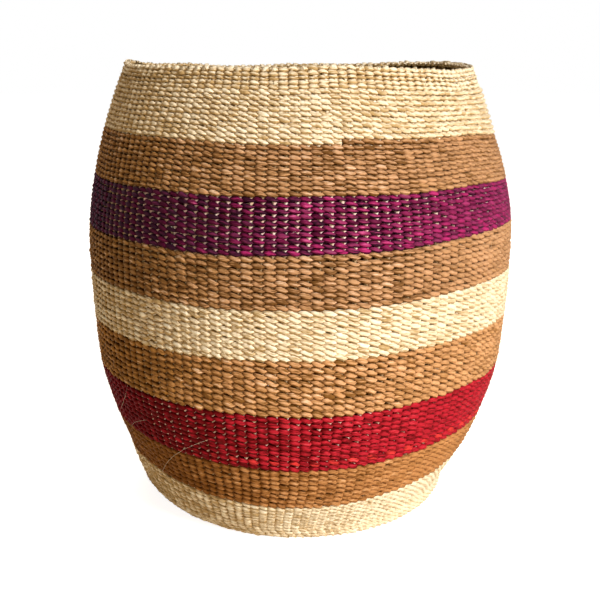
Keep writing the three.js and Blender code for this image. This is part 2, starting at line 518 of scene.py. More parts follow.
@dataclass
class WallProfile:
    """The outside of the weave: radius and height along its length, from the middle of the base to the rim.

    Attributes:
        packed_corner: the radius of the foot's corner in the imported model.
        corner_radius: the radius of that corner as it is woven.
        corner_steps: the number of points on the corner.
        samples: the number of points on the whole profile.
    """

    packed_corner: float = 10.5 * MM
    corner_radius: float = 7.0 * MM
    corner_steps: int = 12
    samples: int = 1500

    def __post_init__(self) -> None:
        """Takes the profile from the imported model."""
        self.knot_radius = self.reach("start_knot")[0]
        self.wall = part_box("start_knot")[1].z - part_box("start_knot")[0].z
        flat_end = self.reach("base_weft_a")[0]
        bounds = [self.reach(f"{zone.name}_weft_a") for zone in ZONES[2:]]
        bounds.append(self.reach("rim_fold"))
        corner = self.corner(flat_end, bounds[0])
        wall = smooth_curve(np.array([corner[-1], *bounds]), self.samples)
        line = np.concatenate(([[0.0, 0.0]], corner[:-1], wall))
        self.length = np.concatenate(([0.0], np.cumsum(np.linalg.norm(np.diff(line, axis=0), axis=1))))
        where = np.linspace(0.0, self.length[-1], self.samples)
        self.radius = np.interp(where, self.length, line[:, 0])
        self.height = np.interp(where, self.length, line[:, 1])
        self.length = where
        ahead = unit(np.stack([np.gradient(self.radius), np.gradient(self.height)], axis=1))
        self.normal_radius = ahead[:, 1]
        self.normal_height = -ahead[:, 0]
        self.bounds = [self.knot_radius, flat_end, *(self.nearest(point) for point in bounds)]

    def reach(self, node: str) -> np.ndarray:
        """The outermost point of the lower half of a node.

        Args:
            node: the name of the node.

        Returns:
            Its radius and height.
        """
        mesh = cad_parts[node].data
        places = np.empty(3 * len(mesh.vertices), np.float32)
        mesh.vertices.foreach_get("co", places)
        places = places.reshape(-1, 3).astype(float)
        middle = places[:, 2].mean()
        low = places[places[:, 2] <= middle]
        radius = np.hypot(low[:, 0], low[:, 1])
        return np.array([radius.max(), low[radius.argmax(), 2]])

    def corner(self, flat_end: float, foot_top: np.ndarray) -> np.ndarray:
        """The round corner from the underside to the slope of the foot.

        Args:
            flat_end: the radius at which the corner starts.
            foot_top: the point that the slope runs to.

        Returns:
            The points of the arc.
        """
        centre = np.array([flat_end, self.packed_corner])
        away = foot_top - centre
        run = math.sqrt(away @ away - self.packed_corner**2)
        turn = math.atan2(away[1], away[0]) + math.atan2(self.packed_corner, run)
        tighter = (self.packed_corner - self.corner_radius) * math.tan(turn / 2)
        centre = np.array([flat_end + tighter, self.corner_radius])
        turns = np.linspace(0.0, turn, self.corner_steps)
        return centre + self.corner_radius * np.stack([np.sin(turns), -np.cos(turns)], axis=1)

    def nearest(self, point: np.ndarray) -> float:
        """The length along the profile that lies nearest to a point."""
        gap = np.hypot(self.radius - point[0], self.height - point[1])
        return float(self.length[gap.argmin()])

    def at(self, length: np.ndarray) -> tuple[np.ndarray, np.ndarray, np.ndarray, np.ndarray]:
        """Radius, height and outward normal.

        Args:
            length: lengths along the profile.

        Returns:
            Radius, height, and the normal's parts along them.
        """
        over = np.maximum(length - self.length[-1], 0.0)
        radius, height, out, up = (
            np.interp(length, self.length, values)
            for values in (self.radius, self.height, self.normal_radius, self.normal_height)
        )
        return radius - over * up, height + over * out, out, up


@dataclass
class HandShape:
    """The pot as the hand made it: the turned profile with its sway, dents and leaning rim.

    Attributes:
        profile: the turned profile.
        sway: how far the warps wander sideways.
        wave: how far the rows wander up and down.
        dent: how far the wall bulges and sinks.
        lean_heights: heights at which the sideways lean is given.
        lean: the lean along +X at those heights.
        row_heights: heights at which the rows are shifted, in millimetres, as the shifts are.
        row_tilt: how far the rows rise to the right side and drop to the left side at those heights.
        row_lift: how far they lie above their even spacing.
        row_bow: how far they rise at the front.
        bow_sharpness: how closely that rise keeps to the front.
        row_drop: how far they drop at the right side.
        left_drop: the drop at the left side, as a share of that.
        drop_sharpness: how closely the drop keeps to the sides.
        rim_angles: angles at which the rise of the rim is given, in degrees.
        rim_rise: the rise of the rim at those angles, in millimetres.
        rim_depth: the height over which that rise fades.
        foot_depth: the length of wall over which the unevenness comes in above the base.
        ripples: how many ripples the sway, the wave and the dents are made of each.
        climb: the most that a ripple turns along the profile, in radians to a metre.
        seed: the seed of the ripples.
        fields: the ripples of each, as their number round the pot, turning, start and size.
    """

    profile: WallProfile
    sway: float = 0.9 * MM
    wave: float = 0.55 * MM
    dent: float = 0.8 * MM
    lean_heights: tuple[float, ...] = (0.0, 10 * MM, 30 * MM, 45 * MM, 160 * MM, 300 * MM)
    lean: tuple[float, ...] = (0.0, -5.0 * MM, -2.6 * MM, -0.2 * MM, 1.0 * MM, 0.0)
    row_heights: tuple[float, ...] = (0, 35, 64, 101, 135, 166, 197, 228, 257, 300)
    row_tilt: tuple[float, ...] = (0.0, 0.8, 1.7, 1.9, 2.7, 2.4, 3.0, 0.7, -1.8, 0.0)
    row_lift: tuple[float, ...] = (0.0, 2.6, 1.8, -0.2, 1.1, 1.7, 1.8, 1.0, 0.4, 0.0)
    row_bow: tuple[float, ...] = (0.0, -7.0, -4.2, -1.8, -0.4, -1.8, -2.1, -0.6, -1.2, 0.0)
    bow_sharpness: int = 8
    row_drop: tuple[float, ...] = (0.0, 0.0, 0.0, 1.0, 2.8, 3.4, 4.2, 5.4, 5.2, 0.0)
    left_drop: float = 0.3
    drop_sharpness: int = 6
    rim_angles: tuple[float, ...] = (-180, -150, -116, -90, -65, -4, 9, 22, 40, 53, 65, 82, 114, 140, 180)
    rim_rise: tuple[float, ...] = (
        0.9, -0.4, 0.6, 4.5, 1.8, 2.3, 3.2, 2.2, 1.8, 0.2, 1.2, 3.4, 4.4, 3.3, 0.9,
    )
    rim_depth: float = 45 * MM
    foot_depth: float = 30 * MM
    ripples: int = 7
    climb: float = 45.0
    seed: int = 11
    fields: dict[str, np.ndarray] = field(default_factory=dict)

    def __post_init__(self) -> None:
        """Draws the ripples that each of the fields is made of."""
        random = np.random.default_rng(self.seed)
        for name, most_round in (("sway", 9), ("wave", 9), ("dent", 6)):
            round_count = random.integers(1, most_round + 1, self.ripples)
            turning = random.uniform(-self.climb, self.climb, self.ripples)
            start = random.uniform(0.0, TURN, self.ripples)
            size = random.uniform(0.5, 1.0, self.ripples) / math.sqrt(self.ripples)
            self.fields[name] = np.stack([round_count, turning, start, size], axis=1)

    def field_at(self, name: str, angle: np.ndarray, length: np.ndarray) -> np.ndarray:
        """Adds up the ripples of one of the fields.

        Args:
            name: the name of the field.
            angle: angles around the pot.
            length: lengths along the profile.

        Returns:
            The field, from about -1 to 1.
        """
        total = np.zeros(np.broadcast(angle, length).shape)
        for round_count, turning, start, size in self.fields[name]:
            total = total + size * np.cos(round_count * angle + turning * length + start)
        return total

    def place(self, angle: np.ndarray, length: np.ndarray, out: np.ndarray) -> np.ndarray:
        """Places points of the weave.

        Args:
            angle: angles around the pot.
            length: lengths along the profile.
            out: distances outwards from the middle of the wall.

        Returns:
            The points, with x, y and z on the last axis.
        """
        on_wall = smooth_step((length - self.profile.bounds[1]) / self.foot_depth)
        mean_radius = np.maximum(self.profile.at(length)[0], self.profile.knot_radius)
        turned = angle + self.sway / mean_radius * self.field_at("sway", angle, length)
        rowed = length + self.wave * on_wall * self.field_at("wave", angle, length)
        radius, height, out_radius, out_height = self.profile.at(rowed)
        depth = out - 0.5 * self.profile.wall + self.dent * on_wall * self.field_at("dent", angle, length)
        radius = radius + depth * out_radius
        height = height + depth * out_height
        lift, tilt, bow, drop = (
            np.interp(height / MM, self.row_heights, values)
            for values in (self.row_lift, self.row_tilt, self.row_bow, self.row_drop)
        )
        shift = lift + tilt * np.sin(angle)
        shift = shift + bow * np.maximum(np.cos(angle), 0.0) ** self.bow_sharpness
        share = np.where(np.sin(angle) > 0.0, 1.0, self.left_drop)
        shift = shift - drop * share * np.sin(angle) ** self.drop_sharpness
        degrees = np.degrees(np.arctan2(np.sin(angle), np.cos(angle)))
        rim = np.interp(degrees, self.rim_angles, self.rim_rise)
        rim = rim * smooth_step((height - self.profile.height[-1]) / self.rim_depth + 1.0)
        height = height + MM * (rim + on_wall * shift)
        lean = np.interp(height, self.lean_heights, self.lean)
        x = radius * np.sin(turned) + lean
        return np.stack([x, -radius * np.cos(turned), height], axis=-1)

    def normal(self, angle: np.ndarray, length: np.ndarray) -> np.ndarray:
        """The outward normals of the wall at angles and lengths."""
        out, up = self.profile.at(length)[2:]
        return np.stack([out * np.sin(angle), -out * np.cos(angle), up + 0.0 * angle], axis=-1)


@dataclass
class Spiral:
    """The one spiral that all the rows lie on, as a count of turns from its start.

    Attributes:
        profile: the profile with the zones' bounds.
        first_double: the turn after which there are twice as many warps.
        second_double: the turn after which there are four times as many.
        run_out_drop: how far the last row comes down at its end, as a share of a row.
        run_out_turns: the part of a turn in which it comes down.
    """

    profile: WallProfile
    first_double: int = 8
    second_double: int = 20
    run_out_drop: float = 0.6
    run_out_turns: float = 1 / 6

    def __post_init__(self) -> None:
        """Lays the rows of each zone between its bounds."""
        self.ends = np.cumsum([zone.rows for zone in ZONES])
        self.knots = np.concatenate(([0], self.ends)) - 0.5
        self.lengths = np.array(self.profile.bounds)
        self.pitches = np.diff(self.lengths) / np.diff(self.knots)
        self.middles = (self.knots[:-1] + self.knots[1:]) / 2

    def length(self, turns: np.ndarray) -> np.ndarray:
        """The length along the profile after so many turns."""
        slope = (turns - self.knots[-1]) * self.pitches[-1]
        return np.interp(turns, self.knots, self.lengths) + np.maximum(slope, 0.0)

    def pitch(self, turns: np.ndarray) -> np.ndarray:
        """The distance from row to row after so many turns."""
        return np.interp(turns, self.middles, self.pitches)

    def stitches(self, turns: np.ndarray) -> np.ndarray:
        """How many warps a strand has passed. The warps double twice on the base.

        Args:
            turns: counts of turns.

        Returns:
            The warps passed after each count.
        """
        between = self.second_double - self.first_double
        few = WARPS // 4 * np.minimum(turns, self.first_double)
        more = WARPS // 2 * np.clip(turns - self.first_double, 0, between)
        return few + more + WARPS * np.maximum(turns - self.second_double, 0)

    def run_out(self, turns: np.ndarray) -> np.ndarray:
        """How far the last row comes down towards its end, at counts of turns."""
        left_over = self.zone_end(len(ZONES) - 1) - turns
        return self.run_out_drop * self.pitch(turns) * (1.0 - smooth_step(left_over / self.run_out_turns))

    def zone_end(self, index: int) -> float:
        """The count of turns at which the strands of a zone end, between two warps."""
        part = (-ZONES[index].join / 360.0) % 1.0
        return self.ends[index] - 1 + round(part * WARPS) / WARPS

    def zone_start(self, index: int) -> float:
        """The count of turns at which the strands of a zone start."""
        return self.zone_end(index - 1) if index else 0.0


@dataclass
class Cord:
    """One strand, section by section.

    Attributes:
        centre: the middle of each section.
        normal: the direction of the section's first half axis, about square to the path.
        half_out: half the thickness along the normal.
        half_up: half the thickness across it.
        along: stitches from the start, for the fibres.
        tone: lightness, with any painted shade added in.
        second: the share of the second dye.
        groove_shade: painted shade: how much darker the strand is at its lower edge and on its inner side.
        contrast: how much its fibres differ in lightness, as a share of the usual.
    """

    centre: np.ndarray
    normal: np.ndarray
    half_out: np.ndarray
    half_up: np.ndarray
    along: np.ndarray
    tone: np.ndarray
    second: np.ndarray
    groove_shade: float | np.ndarray = 0.0
    contrast: float | np.ndarray = 1.0


class StrandMesh:
    """Gathers strands and stamped shapes into the mesh of one piece.

    Attributes:
        cell_shape: the number of cells across the bake map, as a share of the number up it.
        tip: the size of a strand at its very ends, as a share of its full size.
        evening: the weights that even out the lumps of neighbouring sections.
        lower_edge_shade: how dark the painted shade at the lower edge is, as a share of that on the inner
            side.
    """

    cell_shape = 0.7
    tip = 0.05
    evening = (0.25, 0.5, 0.6, 0.5, 0.25)
    lower_edge_shade = 0.9

    def __init__(self, name: str, seed: int, lumps: float = 0.05) -> None:
        """Starts an empty mesh.

        Args:
            name: the name of the piece.
            seed: the seed of its lumps.
            lumps: how uneven its sections are, as a share of their size.
        """
        self.name = name
        self.random = np.random.default_rng(seed)
        self.lumps = lumps
        self.count = 0
        self.places: list[np.ndarray] = []
        self.faces: list[np.ndarray] = []
        self.strand_uv: list[np.ndarray] = []
        self.cells: list[tuple[int, int]] = []
        self.tone: list[np.ndarray] = []
        self.second: list[np.ndarray] = []
        self.contrast: list[np.ndarray] = []

    def add(
        self,
        places: np.ndarray,
        faces: np.ndarray,
        uv: np.ndarray,
        tone: np.ndarray,
        second: np.ndarray,
        contrast: np.ndarray,
    ) -> None:
        """Adds vertices and four-cornered faces.

        Args:
            places: the vertices.
            faces: the corners of each face, counted from the first of these vertices.
            uv: the place along and around the strand at each corner.
            tone: the lightness of each vertex.
            second: the share of the second dye of each vertex.
            contrast: the contrast of the fibres at each vertex.
        """
        self.places.append(places)
        self.faces.append(faces + self.count)
        self.strand_uv.append(uv)
        self.tone.append(tone)
        self.second.append(second)
        self.contrast.append(contrast)
        self.count += len(places)

    def cord(self, cord: Cord, sides: int = SIDES) -> None:
        """Adds a strand as a tube that tapers almost to a point at its ends.

        Args:
            cord: the strand.
            sides: the number of sides of its section.
        """
        ahead = unit(np.gradient(cord.centre, axis=0))
        inner = -unit(cord.normal - (cord.normal * ahead).sum(1, keepdims=True) * ahead)
        across = np.cross(ahead, inner)
        turns = np.arange(sides) / sides
        rings = len(cord.centre)
        rough = self.random.normal(0.0, 1.0, (rings + len(self.evening) - 1, sides))
        rough = sum(weight * rough[i : i + rings] for i, weight in enumerate(self.evening))
        size = 1.0 + self.lumps * rough
        size[0] = self.tip
        size[-1] = self.tip
        out = (size * cord.half_out[:, None] * np.cos(TURN * turns))[:, :, None] * inner[:, None]
        up = (size * cord.half_up[:, None] * np.sin(TURN * turns))[:, :, None] * across[:, None]
        places = (cord.centre[:, None] + out + up).reshape(-1, 3)
        ring, side = np.meshgrid(np.arange(rings - 1), np.arange(sides), indexing="ij")
        here = ring * sides
        beyond = here + sides
        beside = (side + 1) % sides
        corners = (here + side, here + beside, beyond + beside, beyond + side)
        faces = np.stack(corners, axis=-1).reshape(-1, 4)
        start = self.random.uniform(0.0, 50.0)
        along = np.stack([cord.along[ring + step] for step in (0, 0, 1, 1)], axis=-1)
        around = np.stack([start + (side + step) / sides for step in (0, 1, 1, 0)], axis=-1)
        uv = np.stack([along, around], axis=-1).reshape(-1, 4, 2)
        # Painted shade: darker towards the strand's inner side and towards its lower edge.
        inside = 0.5 + 0.5 * np.cos(TURN * turns)
        below = np.maximum(np.sin(TURN * turns), 0.0)
        tone = cord.tone[:, None] - np.multiply.outer(cord.groove_shade, inside + self.lower_edge_shade * below)
        second = np.repeat(cord.second, sides)
        contrast = np.repeat(np.broadcast_to(cord.contrast, rings), sides)
        self.add(places, faces, uv, tone.ravel(), second, contrast)
        self.cells.append((rings - 1, sides))

    def bake_map(self) -> np.ndarray:
        """Lays every face of the strands in a cell of its own on one square, in rows.

        Returns:
            The place of each corner of each face.
        """
        rows_each = max(sides for _, sides in self.cells) + 1
        total = sum(rings for rings, _ in self.cells)
        width = max(int(math.sqrt(total * rows_each * self.cell_shape)), 1)
        strips = sum(-(-rings // width) for rings, _ in self.cells)
        step = np.array([1.0 / width, 1.0 / (strips * rows_each)])
        corners = np.array([[0, 0], [0, 1], [1, 1], [1, 0]])
        first = 0
        laid = []
        for rings, sides in self.cells:
            ring, side = np.meshgrid(np.arange(rings), np.arange(sides), indexing="ij")
            row = (first + ring // width) * rows_each + side
            cell = np.stack([ring % width, row], axis=-1).reshape(-1, 1, 2)
            laid.append((cell + corners) * step)
            first += -(-rings // width)
        return np.concatenate(laid)

    def build(self) -> bpy.types.Object:
        """Makes the object, pressed flat where it stands on the floor.

        Returns:
            The new object, in the scene.
        """
        places = np.concatenate(self.places)
        places[:, 2] = np.maximum(places[:, 2], 0.0)
        faces = np.concatenate(self.faces)
        mesh = bpy.data.meshes.new(self.name)
        mesh.vertices.add(len(places))
        mesh.vertices.foreach_set("co", places.astype(np.float32).ravel())
        mesh.loops.add(faces.size)
        mesh.loops.foreach_set("vertex_index", faces.astype(np.int32).ravel())
        mesh.polygons.add(len(faces))
        mesh.polygons.foreach_set("loop_start", np.arange(0, faces.size, 4, dtype=np.int32))
        mesh.polygons.foreach_set("use_smooth", np.ones(len(faces), bool))
        mesh.update(calc_edges=True)
        strand = mesh.uv_layers.new(name="strand")
        strand.uv.foreach_set("vector", np.concatenate(self.strand_uv).astype(np.float32).ravel())
        if sum(rings * sides for rings, sides in self.cells) == len(faces):
            bake = mesh.uv_layers.new(name="OFBake")
            bake.uv.foreach_set("vector", self.bake_map().astype(np.float32).ravel())
        layers = {"tone": self.tone, "second_dye_and_painted_light": self.second, "contrast": self.contrast}
        for name, values in layers.items():
            layer = mesh.attributes.new(name, "FLOAT", "POINT")
            layer.data.foreach_set("value", np.concatenate(values).astype(np.float32))
        piece = bpy.data.objects.new(self.name, mesh)
        bpy.context.scene.collection.objects.link(piece)
        return piece


def dress(piece: bpy.types.Object, finish: SisalFinish, nodes: tuple[str, ...] = ()) -> None:
    """Gives a piece its finish and its place in the model.

    Args:
        piece: the piece.
        finish: its finish.
        nodes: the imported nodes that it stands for.
    """
    piece.data.materials.append(finish.material())
    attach(piece, BODY)
    if nodes:
        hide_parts(*nodes)
    LOG.info("%s: %d faces in %s", piece.name, len(piece.data.polygons), finish.name)


@dataclass
class Stitching:
    """The stitches of one strand, section by section.

    Attributes:
        zone: the strand's zone.
        start: the count of turns at which the strand starts.
        end: the count of turns at which it ends.
        count: how many stitches it has.
        stitch: stitches from the start of the spiral.
        number: the number of the stitch in the strand.
        turns: the count of turns.
        twist: the angle of the strand's twist, which is 0 outside a warp and half a turn inside the next.
    """

    zone: Zone
    start: float
    end: float
    count: int
    stitch: np.ndarray
    number: np.ndarray
    turns: np.ndarray
    twist: np.ndarray

    @property
    def angle(self) -> np.ndarray:
        """The angle around the pot."""
        return -TURN * self.turns

    @property
    def facing(self) -> np.ndarray:
        """From 1 outside a warp to -1 inside it."""
        return np.cos(self.twist)

    @property
    def over(self) -> np.ndarray:
        """From 0 where the strands cross to 1 over a warp, outside it or inside."""
        return np.abs(self.facing)


@dataclass
class Manner:
    """How the stitches of a strand lie, section by section, as shares from 0 to 1.

    Attributes:
        edge: how near they are to the left edge of the pot.
        right: how near they are to its right side.
        calm: how flat and even they lie.
        upright: how closely they stand in columns.
        parting: how far the columns part, so that the warps show between them.
    """

    edge: np.ndarray
    right: np.ndarray
    calm: np.ndarray
    upright: np.ndarray
    parting: np.ndarray


@dataclass
class SecondDyeAndPaintedLight:
    """How much of the second dye the weft strands show along their way, as dye and as painted shade or
    light.

    Attributes:
        chance: the mean share that a stitch has by chance, and how much it varies.
        dyed_chance: how much of that chance the stitches of the tan and purple zones have.
        red_chance: how much of it the stitches of the red zone have.
        darkening: painted shade: how much more of a darker second dye shows away from the window lamp.
        bright_rows: the rows of the red zone between which strand a is brighter.
        bright_fades: the parts of a row in which that stretch begins and ends.
        bright_loss: painted shade: how much less of a brighter second dye shows away from the window lamp.
        mixing: the share that the purple zone has at each row from its start.
        lamp_side_light: painted light: how much more brighter dye strand b of that zone shows towards the
            window lamp.
        lamp_side_sharpness: how closely that painted light keeps to the side of the window lamp.
    """

    chance: tuple[float, float] = (0.2, 0.2)
    dyed_chance: float = 0.5
    red_chance: float = 0.15
    darkening: float = 0.9
    bright_rows: tuple[float, float] = (0.6, 1.9)
    bright_fades: tuple[float, float] = (0.125, 0.25)
    bright_loss: float = 0.6
    mixing: tuple[float, ...] = (0.0, 0.0, 0.1, 0.3, 0.5, 0.35, 0.5, 0.4, 0.2, 0.1, 0.1, 0.1)
    lamp_side_light: float = 0.5
    lamp_side_sharpness: int = 4

    def red(self, weft: Weft, rows: np.ndarray, dark: np.ndarray, chance: np.ndarray) -> np.ndarray:
        """The share in the red zone, where strand a has a brighter stretch in the lowest rows.

        Args:
            weft: which strand it is.
            rows: rows from the zone's start.
            dark: how far the section lies away from the window lamp, for painted shade and light.
            chance: the share that the stitch has by chance.

        Returns:
            The share at each section.
        """
        begins, ends = self.bright_rows
        fade_in, fade_out = self.bright_fades
        bright = smooth_step((rows - begins) / fade_in) * smooth_step((ends - rows) / fade_out)
        share = self.red_chance * chance + bright * (weft is Weft.A)
        # Painted shade: less of the brighter dye away from the window lamp.
        return share * (1.0 - self.bright_loss * dark)

    def purple(self, weft: Weft, rows: np.ndarray, dark: np.ndarray, chance: np.ndarray) -> np.ndarray:
        """The share in the purple zone, with painted shade away from the window lamp and painted light
        towards it.

        Args:
            weft: which strand it is.
            rows: rows from the zone's start.
            dark: how far the section lies away from the window lamp, for painted shade and light.
            chance: the share that the stitch has by chance.

        Returns:
            The share at each section.
        """
        share = self.dyed_chance * chance + np.interp(rows, np.arange(len(self.mixing)), self.mixing)
        # Painted shade away from the window lamp on strand a, and painted light towards it on strand b.
        if weft is Weft.A:
            return share + self.darkening * dark
        lamp_side = np.clip(1.0 - self.lamp_side_sharpness * dark, 0.0, 1.0) ** self.lamp_side_sharpness
        return share * (1.0 - dark) + self.lamp_side_light * lamp_side

    def share(
        self, zone: Zone, weft: Weft, rows: np.ndarray, dark: np.ndarray, chance: np.ndarray
    ) -> np.ndarray:
        """The share of the second dye.

        Args:
            zone: the strand's zone.
            weft: which strand it is.
            rows: rows from the zone's start.
            dark: how far the section lies away from the window lamp, for painted shade and light.
            chance: the share that the stitch has by chance.

        Returns:
            The share at each section, from 0 to 1.
        """
        if zone.finish(weft).slot == "tan_sisal":
            # Painted shade: more of the darker dye away from the window lamp.
            share = self.dyed_chance * chance + self.darkening * dark
        elif zone.name == "red":
            share = self.red(weft, rows, dark, chance)
        elif zone.name == "purple":
            share = self.purple(weft, rows, dark, chance)
        else:
            share = chance
        return np.clip(share, 0.0, 1.0)


@dataclass
class TwinedWeft:
    """The weft strands of all the zones.

    Attributes:
        shape: the pot's shape.
        spiral: the spiral of the rows.
        reach_out: how far a strand's middle lies from the middle of the wall, over a warp.
        half_out: half the thickness of a strand over a warp, through the wall.
        crossing_out: how far outside the middle of the wall a strand crosses.
        parted_crossing: that distance where the columns part, as a share.
        calm_crossing: how much further out it crosses where the stitches lie calm, as a share.
        tail: how far the lower end of a stitch lies outside that, and the upper end of the next inside it.
        hug: how closely a strand follows the warp that it passes; less is closer.
        slant: how far a strand rises or drops where it crosses, as a share of the row.
        upright_slant: the slant of stitches in columns, as a share of the slant.
        right_upright: how closely the stitches of every zone stand in columns on the right side.
        right_calm: how calm the stitches of a zone without columns lie on the right side.
        edge_closing: how far the columns close up again at the left edge.
        gap: how much painted shade darkens the crossings where the columns part.
        waist: the height of a strand where it crosses, as a share of its height over a warp.
        body: how full a stitch is between its middle and its ends; less is fuller.
        bunch: the thickness of a strand where it crosses, as a share of its thickness over a warp.
        shade: how much darker a strand is at most, where it lies inside the warps.
        groove_shade: painted shade: how much darker its lower edge and its inner side are.
        edge_groove_shade: how much darker still that painted shade is at the left edge, as a share.
        right_softness: how much softer the painted shade in the grooves and the fibres are on the right
            side.
        evenness: how much softer calm stitches are in lightness and in the painted shade of their grooves.
        lamp_side: the angle of the side that faces the window lamp, away from which the dyes get painted
            shade.
        lamp_side_fade: where the painted shade begins and is full, as the cosine of the angle from the
            shaded side.
        tip_rows: the rows below the end of the rim between which the trimmed tips part the stitches.
        tip_thinning: how much lower those stitches are, as a share.
        end_height: the height of the last stitch, as a share of the usual.
        tip_shade: how much darker their crossings are.
        swapped_rows: the rows of a zone of two colours in which an extra half twist swaps the strands.
        swap_spread: how far from the row's start that half twist may lie, in turns.
        uneven_height: how much the stitches vary in height, as a share.
        uneven_place: how much they lie above or below their row, as a share of the row.
        uneven_slant: how much they vary in slant, as a share.
        uneven_out: how much they vary in how far they stand out.
        uneven_tone: how much they vary in lightness.
        fine_steps: the points to a warp at which the spiral is followed.
        second_dye_and_painted_light: how the strands take their second dye, which also carries painted
            shade and light.
        seed: the seed of the first strand.
    """

    shape: HandShape
    spiral: Spiral
    reach_out: float = 2.35 * MM
    half_out: float = 1.4 * MM
    crossing_out: float = 1.75 * MM
    parted_crossing: float = 0.45
    calm_crossing: float = 0.3
    tail: float = 0.6 * MM
    hug: float = 0.6
    slant: float = 0.25
    upright_slant: float = 0.35
    right_upright: float = 0.2
    right_calm: float = 0.5
    edge_closing: float = 0.7
    gap: float = 1.0
    waist: float = 0.5
    body: float = 0.85
    bunch: float = 0.9
    shade: float = 0.5
    groove_shade: float = 0.85
    edge_groove_shade: float = 0.6
    right_softness: float = 0.5
    evenness: float = 0.6
    lamp_side: float = math.radians(65.0)
    lamp_side_fade: tuple[float, float] = (-0.55, 0.55)
    tip_rows: tuple[float, float] = (2.3, 3.5)
    tip_thinning: float = 0.3
    end_height: float = 0.5
    tip_shade: float = 1.3
    swapped_rows: tuple[int, ...] = (2, 3, 5, 6, 8)
    swap_spread: float = 0.15
    uneven_height: float = 0.10
    uneven_place: float = 0.08
    uneven_slant: float = 0.35
    uneven_out: float = 0.25 * MM
    uneven_tone: float = 0.16
    fine_steps: int = 4
    second_dye_and_painted_light: SecondDyeAndPaintedLight = field(default_factory=SecondDyeAndPaintedLight)
    seed: int = 100

    def extra_twists(self, zone: Zone, start: float, turns: np.ndarray) -> np.ndarray:
        """Half twists that the weaver put in between two warps, which change the strand that shows.

        Args:
            zone: the zone.
            start: the count of turns at which it starts.
            turns: counts of turns along the strand.

        Returns:
            The half twists passed at each count.
        """
        passed = np.zeros_like(turns)
        if zone.finish_a is zone.finish_b:
            return passed
        random = np.random.default_rng(self.seed)
        for row in self.swapped_rows:
            place = start + row + random.uniform(-self.swap_spread, self.swap_spread)
            between_warps = round(place * WARPS) / WARPS
            passed += np.clip((turns - between_warps) * WARPS + 0.5, 0.0, 1.0)
        return passed

    def sections(self, outside: np.ndarray) -> np.ndarray:
        """Where the sections of a strand lie. Stitches outside the wall, where they show best, have more.

        Args:
            outside: for each stitch, whether it lies outside the wall.

        Returns:
            Stitches from the start of the strand.
        """
        steps = np.where(outside, OUTSIDE_STEPS, INSIDE_STEPS)
        stitch = np.repeat(np.arange(len(steps)), steps)
        step = np.arange(len(stitch)) - np.repeat(np.cumsum(steps) - steps, steps)
        return np.append(stitch + step / steps[stitch], len(steps))

    def stitching(self, index: int, weft: Weft) -> Stitching:
        """Lays the stitches of one strand along the spiral.

        Args:
            index: the place of its zone in ZONES.
            weft: which of the two strands it is.

        Returns:
            The stitches.
        """
        zone = ZONES[index]
        start = self.spiral.zone_start(index)
        end = self.spiral.zone_end(index)
        first, last = np.round(self.spiral.stitches(np.array([start, end])))
        fine = np.linspace(start, end, self.fine_steps * WARPS * math.ceil(end - start))
        counted = self.spiral.stitches(fine)
        whole = np.arange(first, last)
        half_twists = whole + self.extra_twists(zone, start, np.interp(whole + 0.5, counted, fine))
        stitch = first + self.sections((np.round(half_twists) + (weft is Weft.B)) % 2 == 0)
        turns = np.interp(stitch, counted, fine)
        twist = math.pi * (stitch - 0.5 + self.extra_twists(zone, start, turns))
        if weft is Weft.B:
            twist = twist + math.pi
        number = np.minimum(np.floor(stitch - first), last - first - 1).astype(int)
        return Stitching(zone, start, end, len(whole), stitch, number, turns, twist)

    def manner(self, zone: Zone, angle: np.ndarray) -> Manner:
        """How the stitches of a zone lie around the pot.

        Args:
            zone: the zone.
            angle: angles around the pot.

        Returns:
            Their manner at those angles.
        """
        left = -np.sin(angle)
        edge = ramp(left, LEFT_EDGE)
        right = ramp(-left, RIGHT_SIDE)
        columns = np.maximum(ramp(left, LEFT_SIDE), zone.columns)
        calm = self.right_calm * right * (1.0 - zone.columns)
        calm = np.maximum(zone.calm * ramp(-left, RIGHT_HALF), calm)
        upright = np.maximum(columns, self.right_upright * right)
        parting = columns * (1.0 - self.edge_closing * edge) * (1.0 - calm)
        return Manner(edge, right, calm, upright, parting)

    def locking(self, laid: Stitching) -> tuple[np.ndarray, np.ndarray]:
        """How the locking rows differ: tips part them, painted shade lies inside, and they thin out at the
        end.

        Args:
            laid: the stitches of the rim.

        Returns:
            The share of the usual height and the painted shade, section by section.
        """
        fade = self.spiral.run_out_turns
        left_over = laid.end - laid.turns
        upper, lower = self.tip_rows
        parted = smooth_step((left_over - upper) / fade) * smooth_step((lower - left_over) / fade)
        height = self.end_height + (1.0 - self.end_height) * smooth_step(left_over / fade)
        height = height * (1.0 - self.tip_thinning * parted)
        # Painted shade inside the warps and at the crossings that the tips part.
        tone = np.minimum(laid.facing, 0.0) - self.tip_shade * parted * (1.0 - laid.over)
        return height, tone

    def away_side_share(self, angle: np.ndarray) -> np.ndarray:
        """How far the dyes take painted shade at angles: 0 towards the window lamp and 1 away from it."""
        return ramp(-np.cos(angle - self.lamp_side), self.lamp_side_fade)

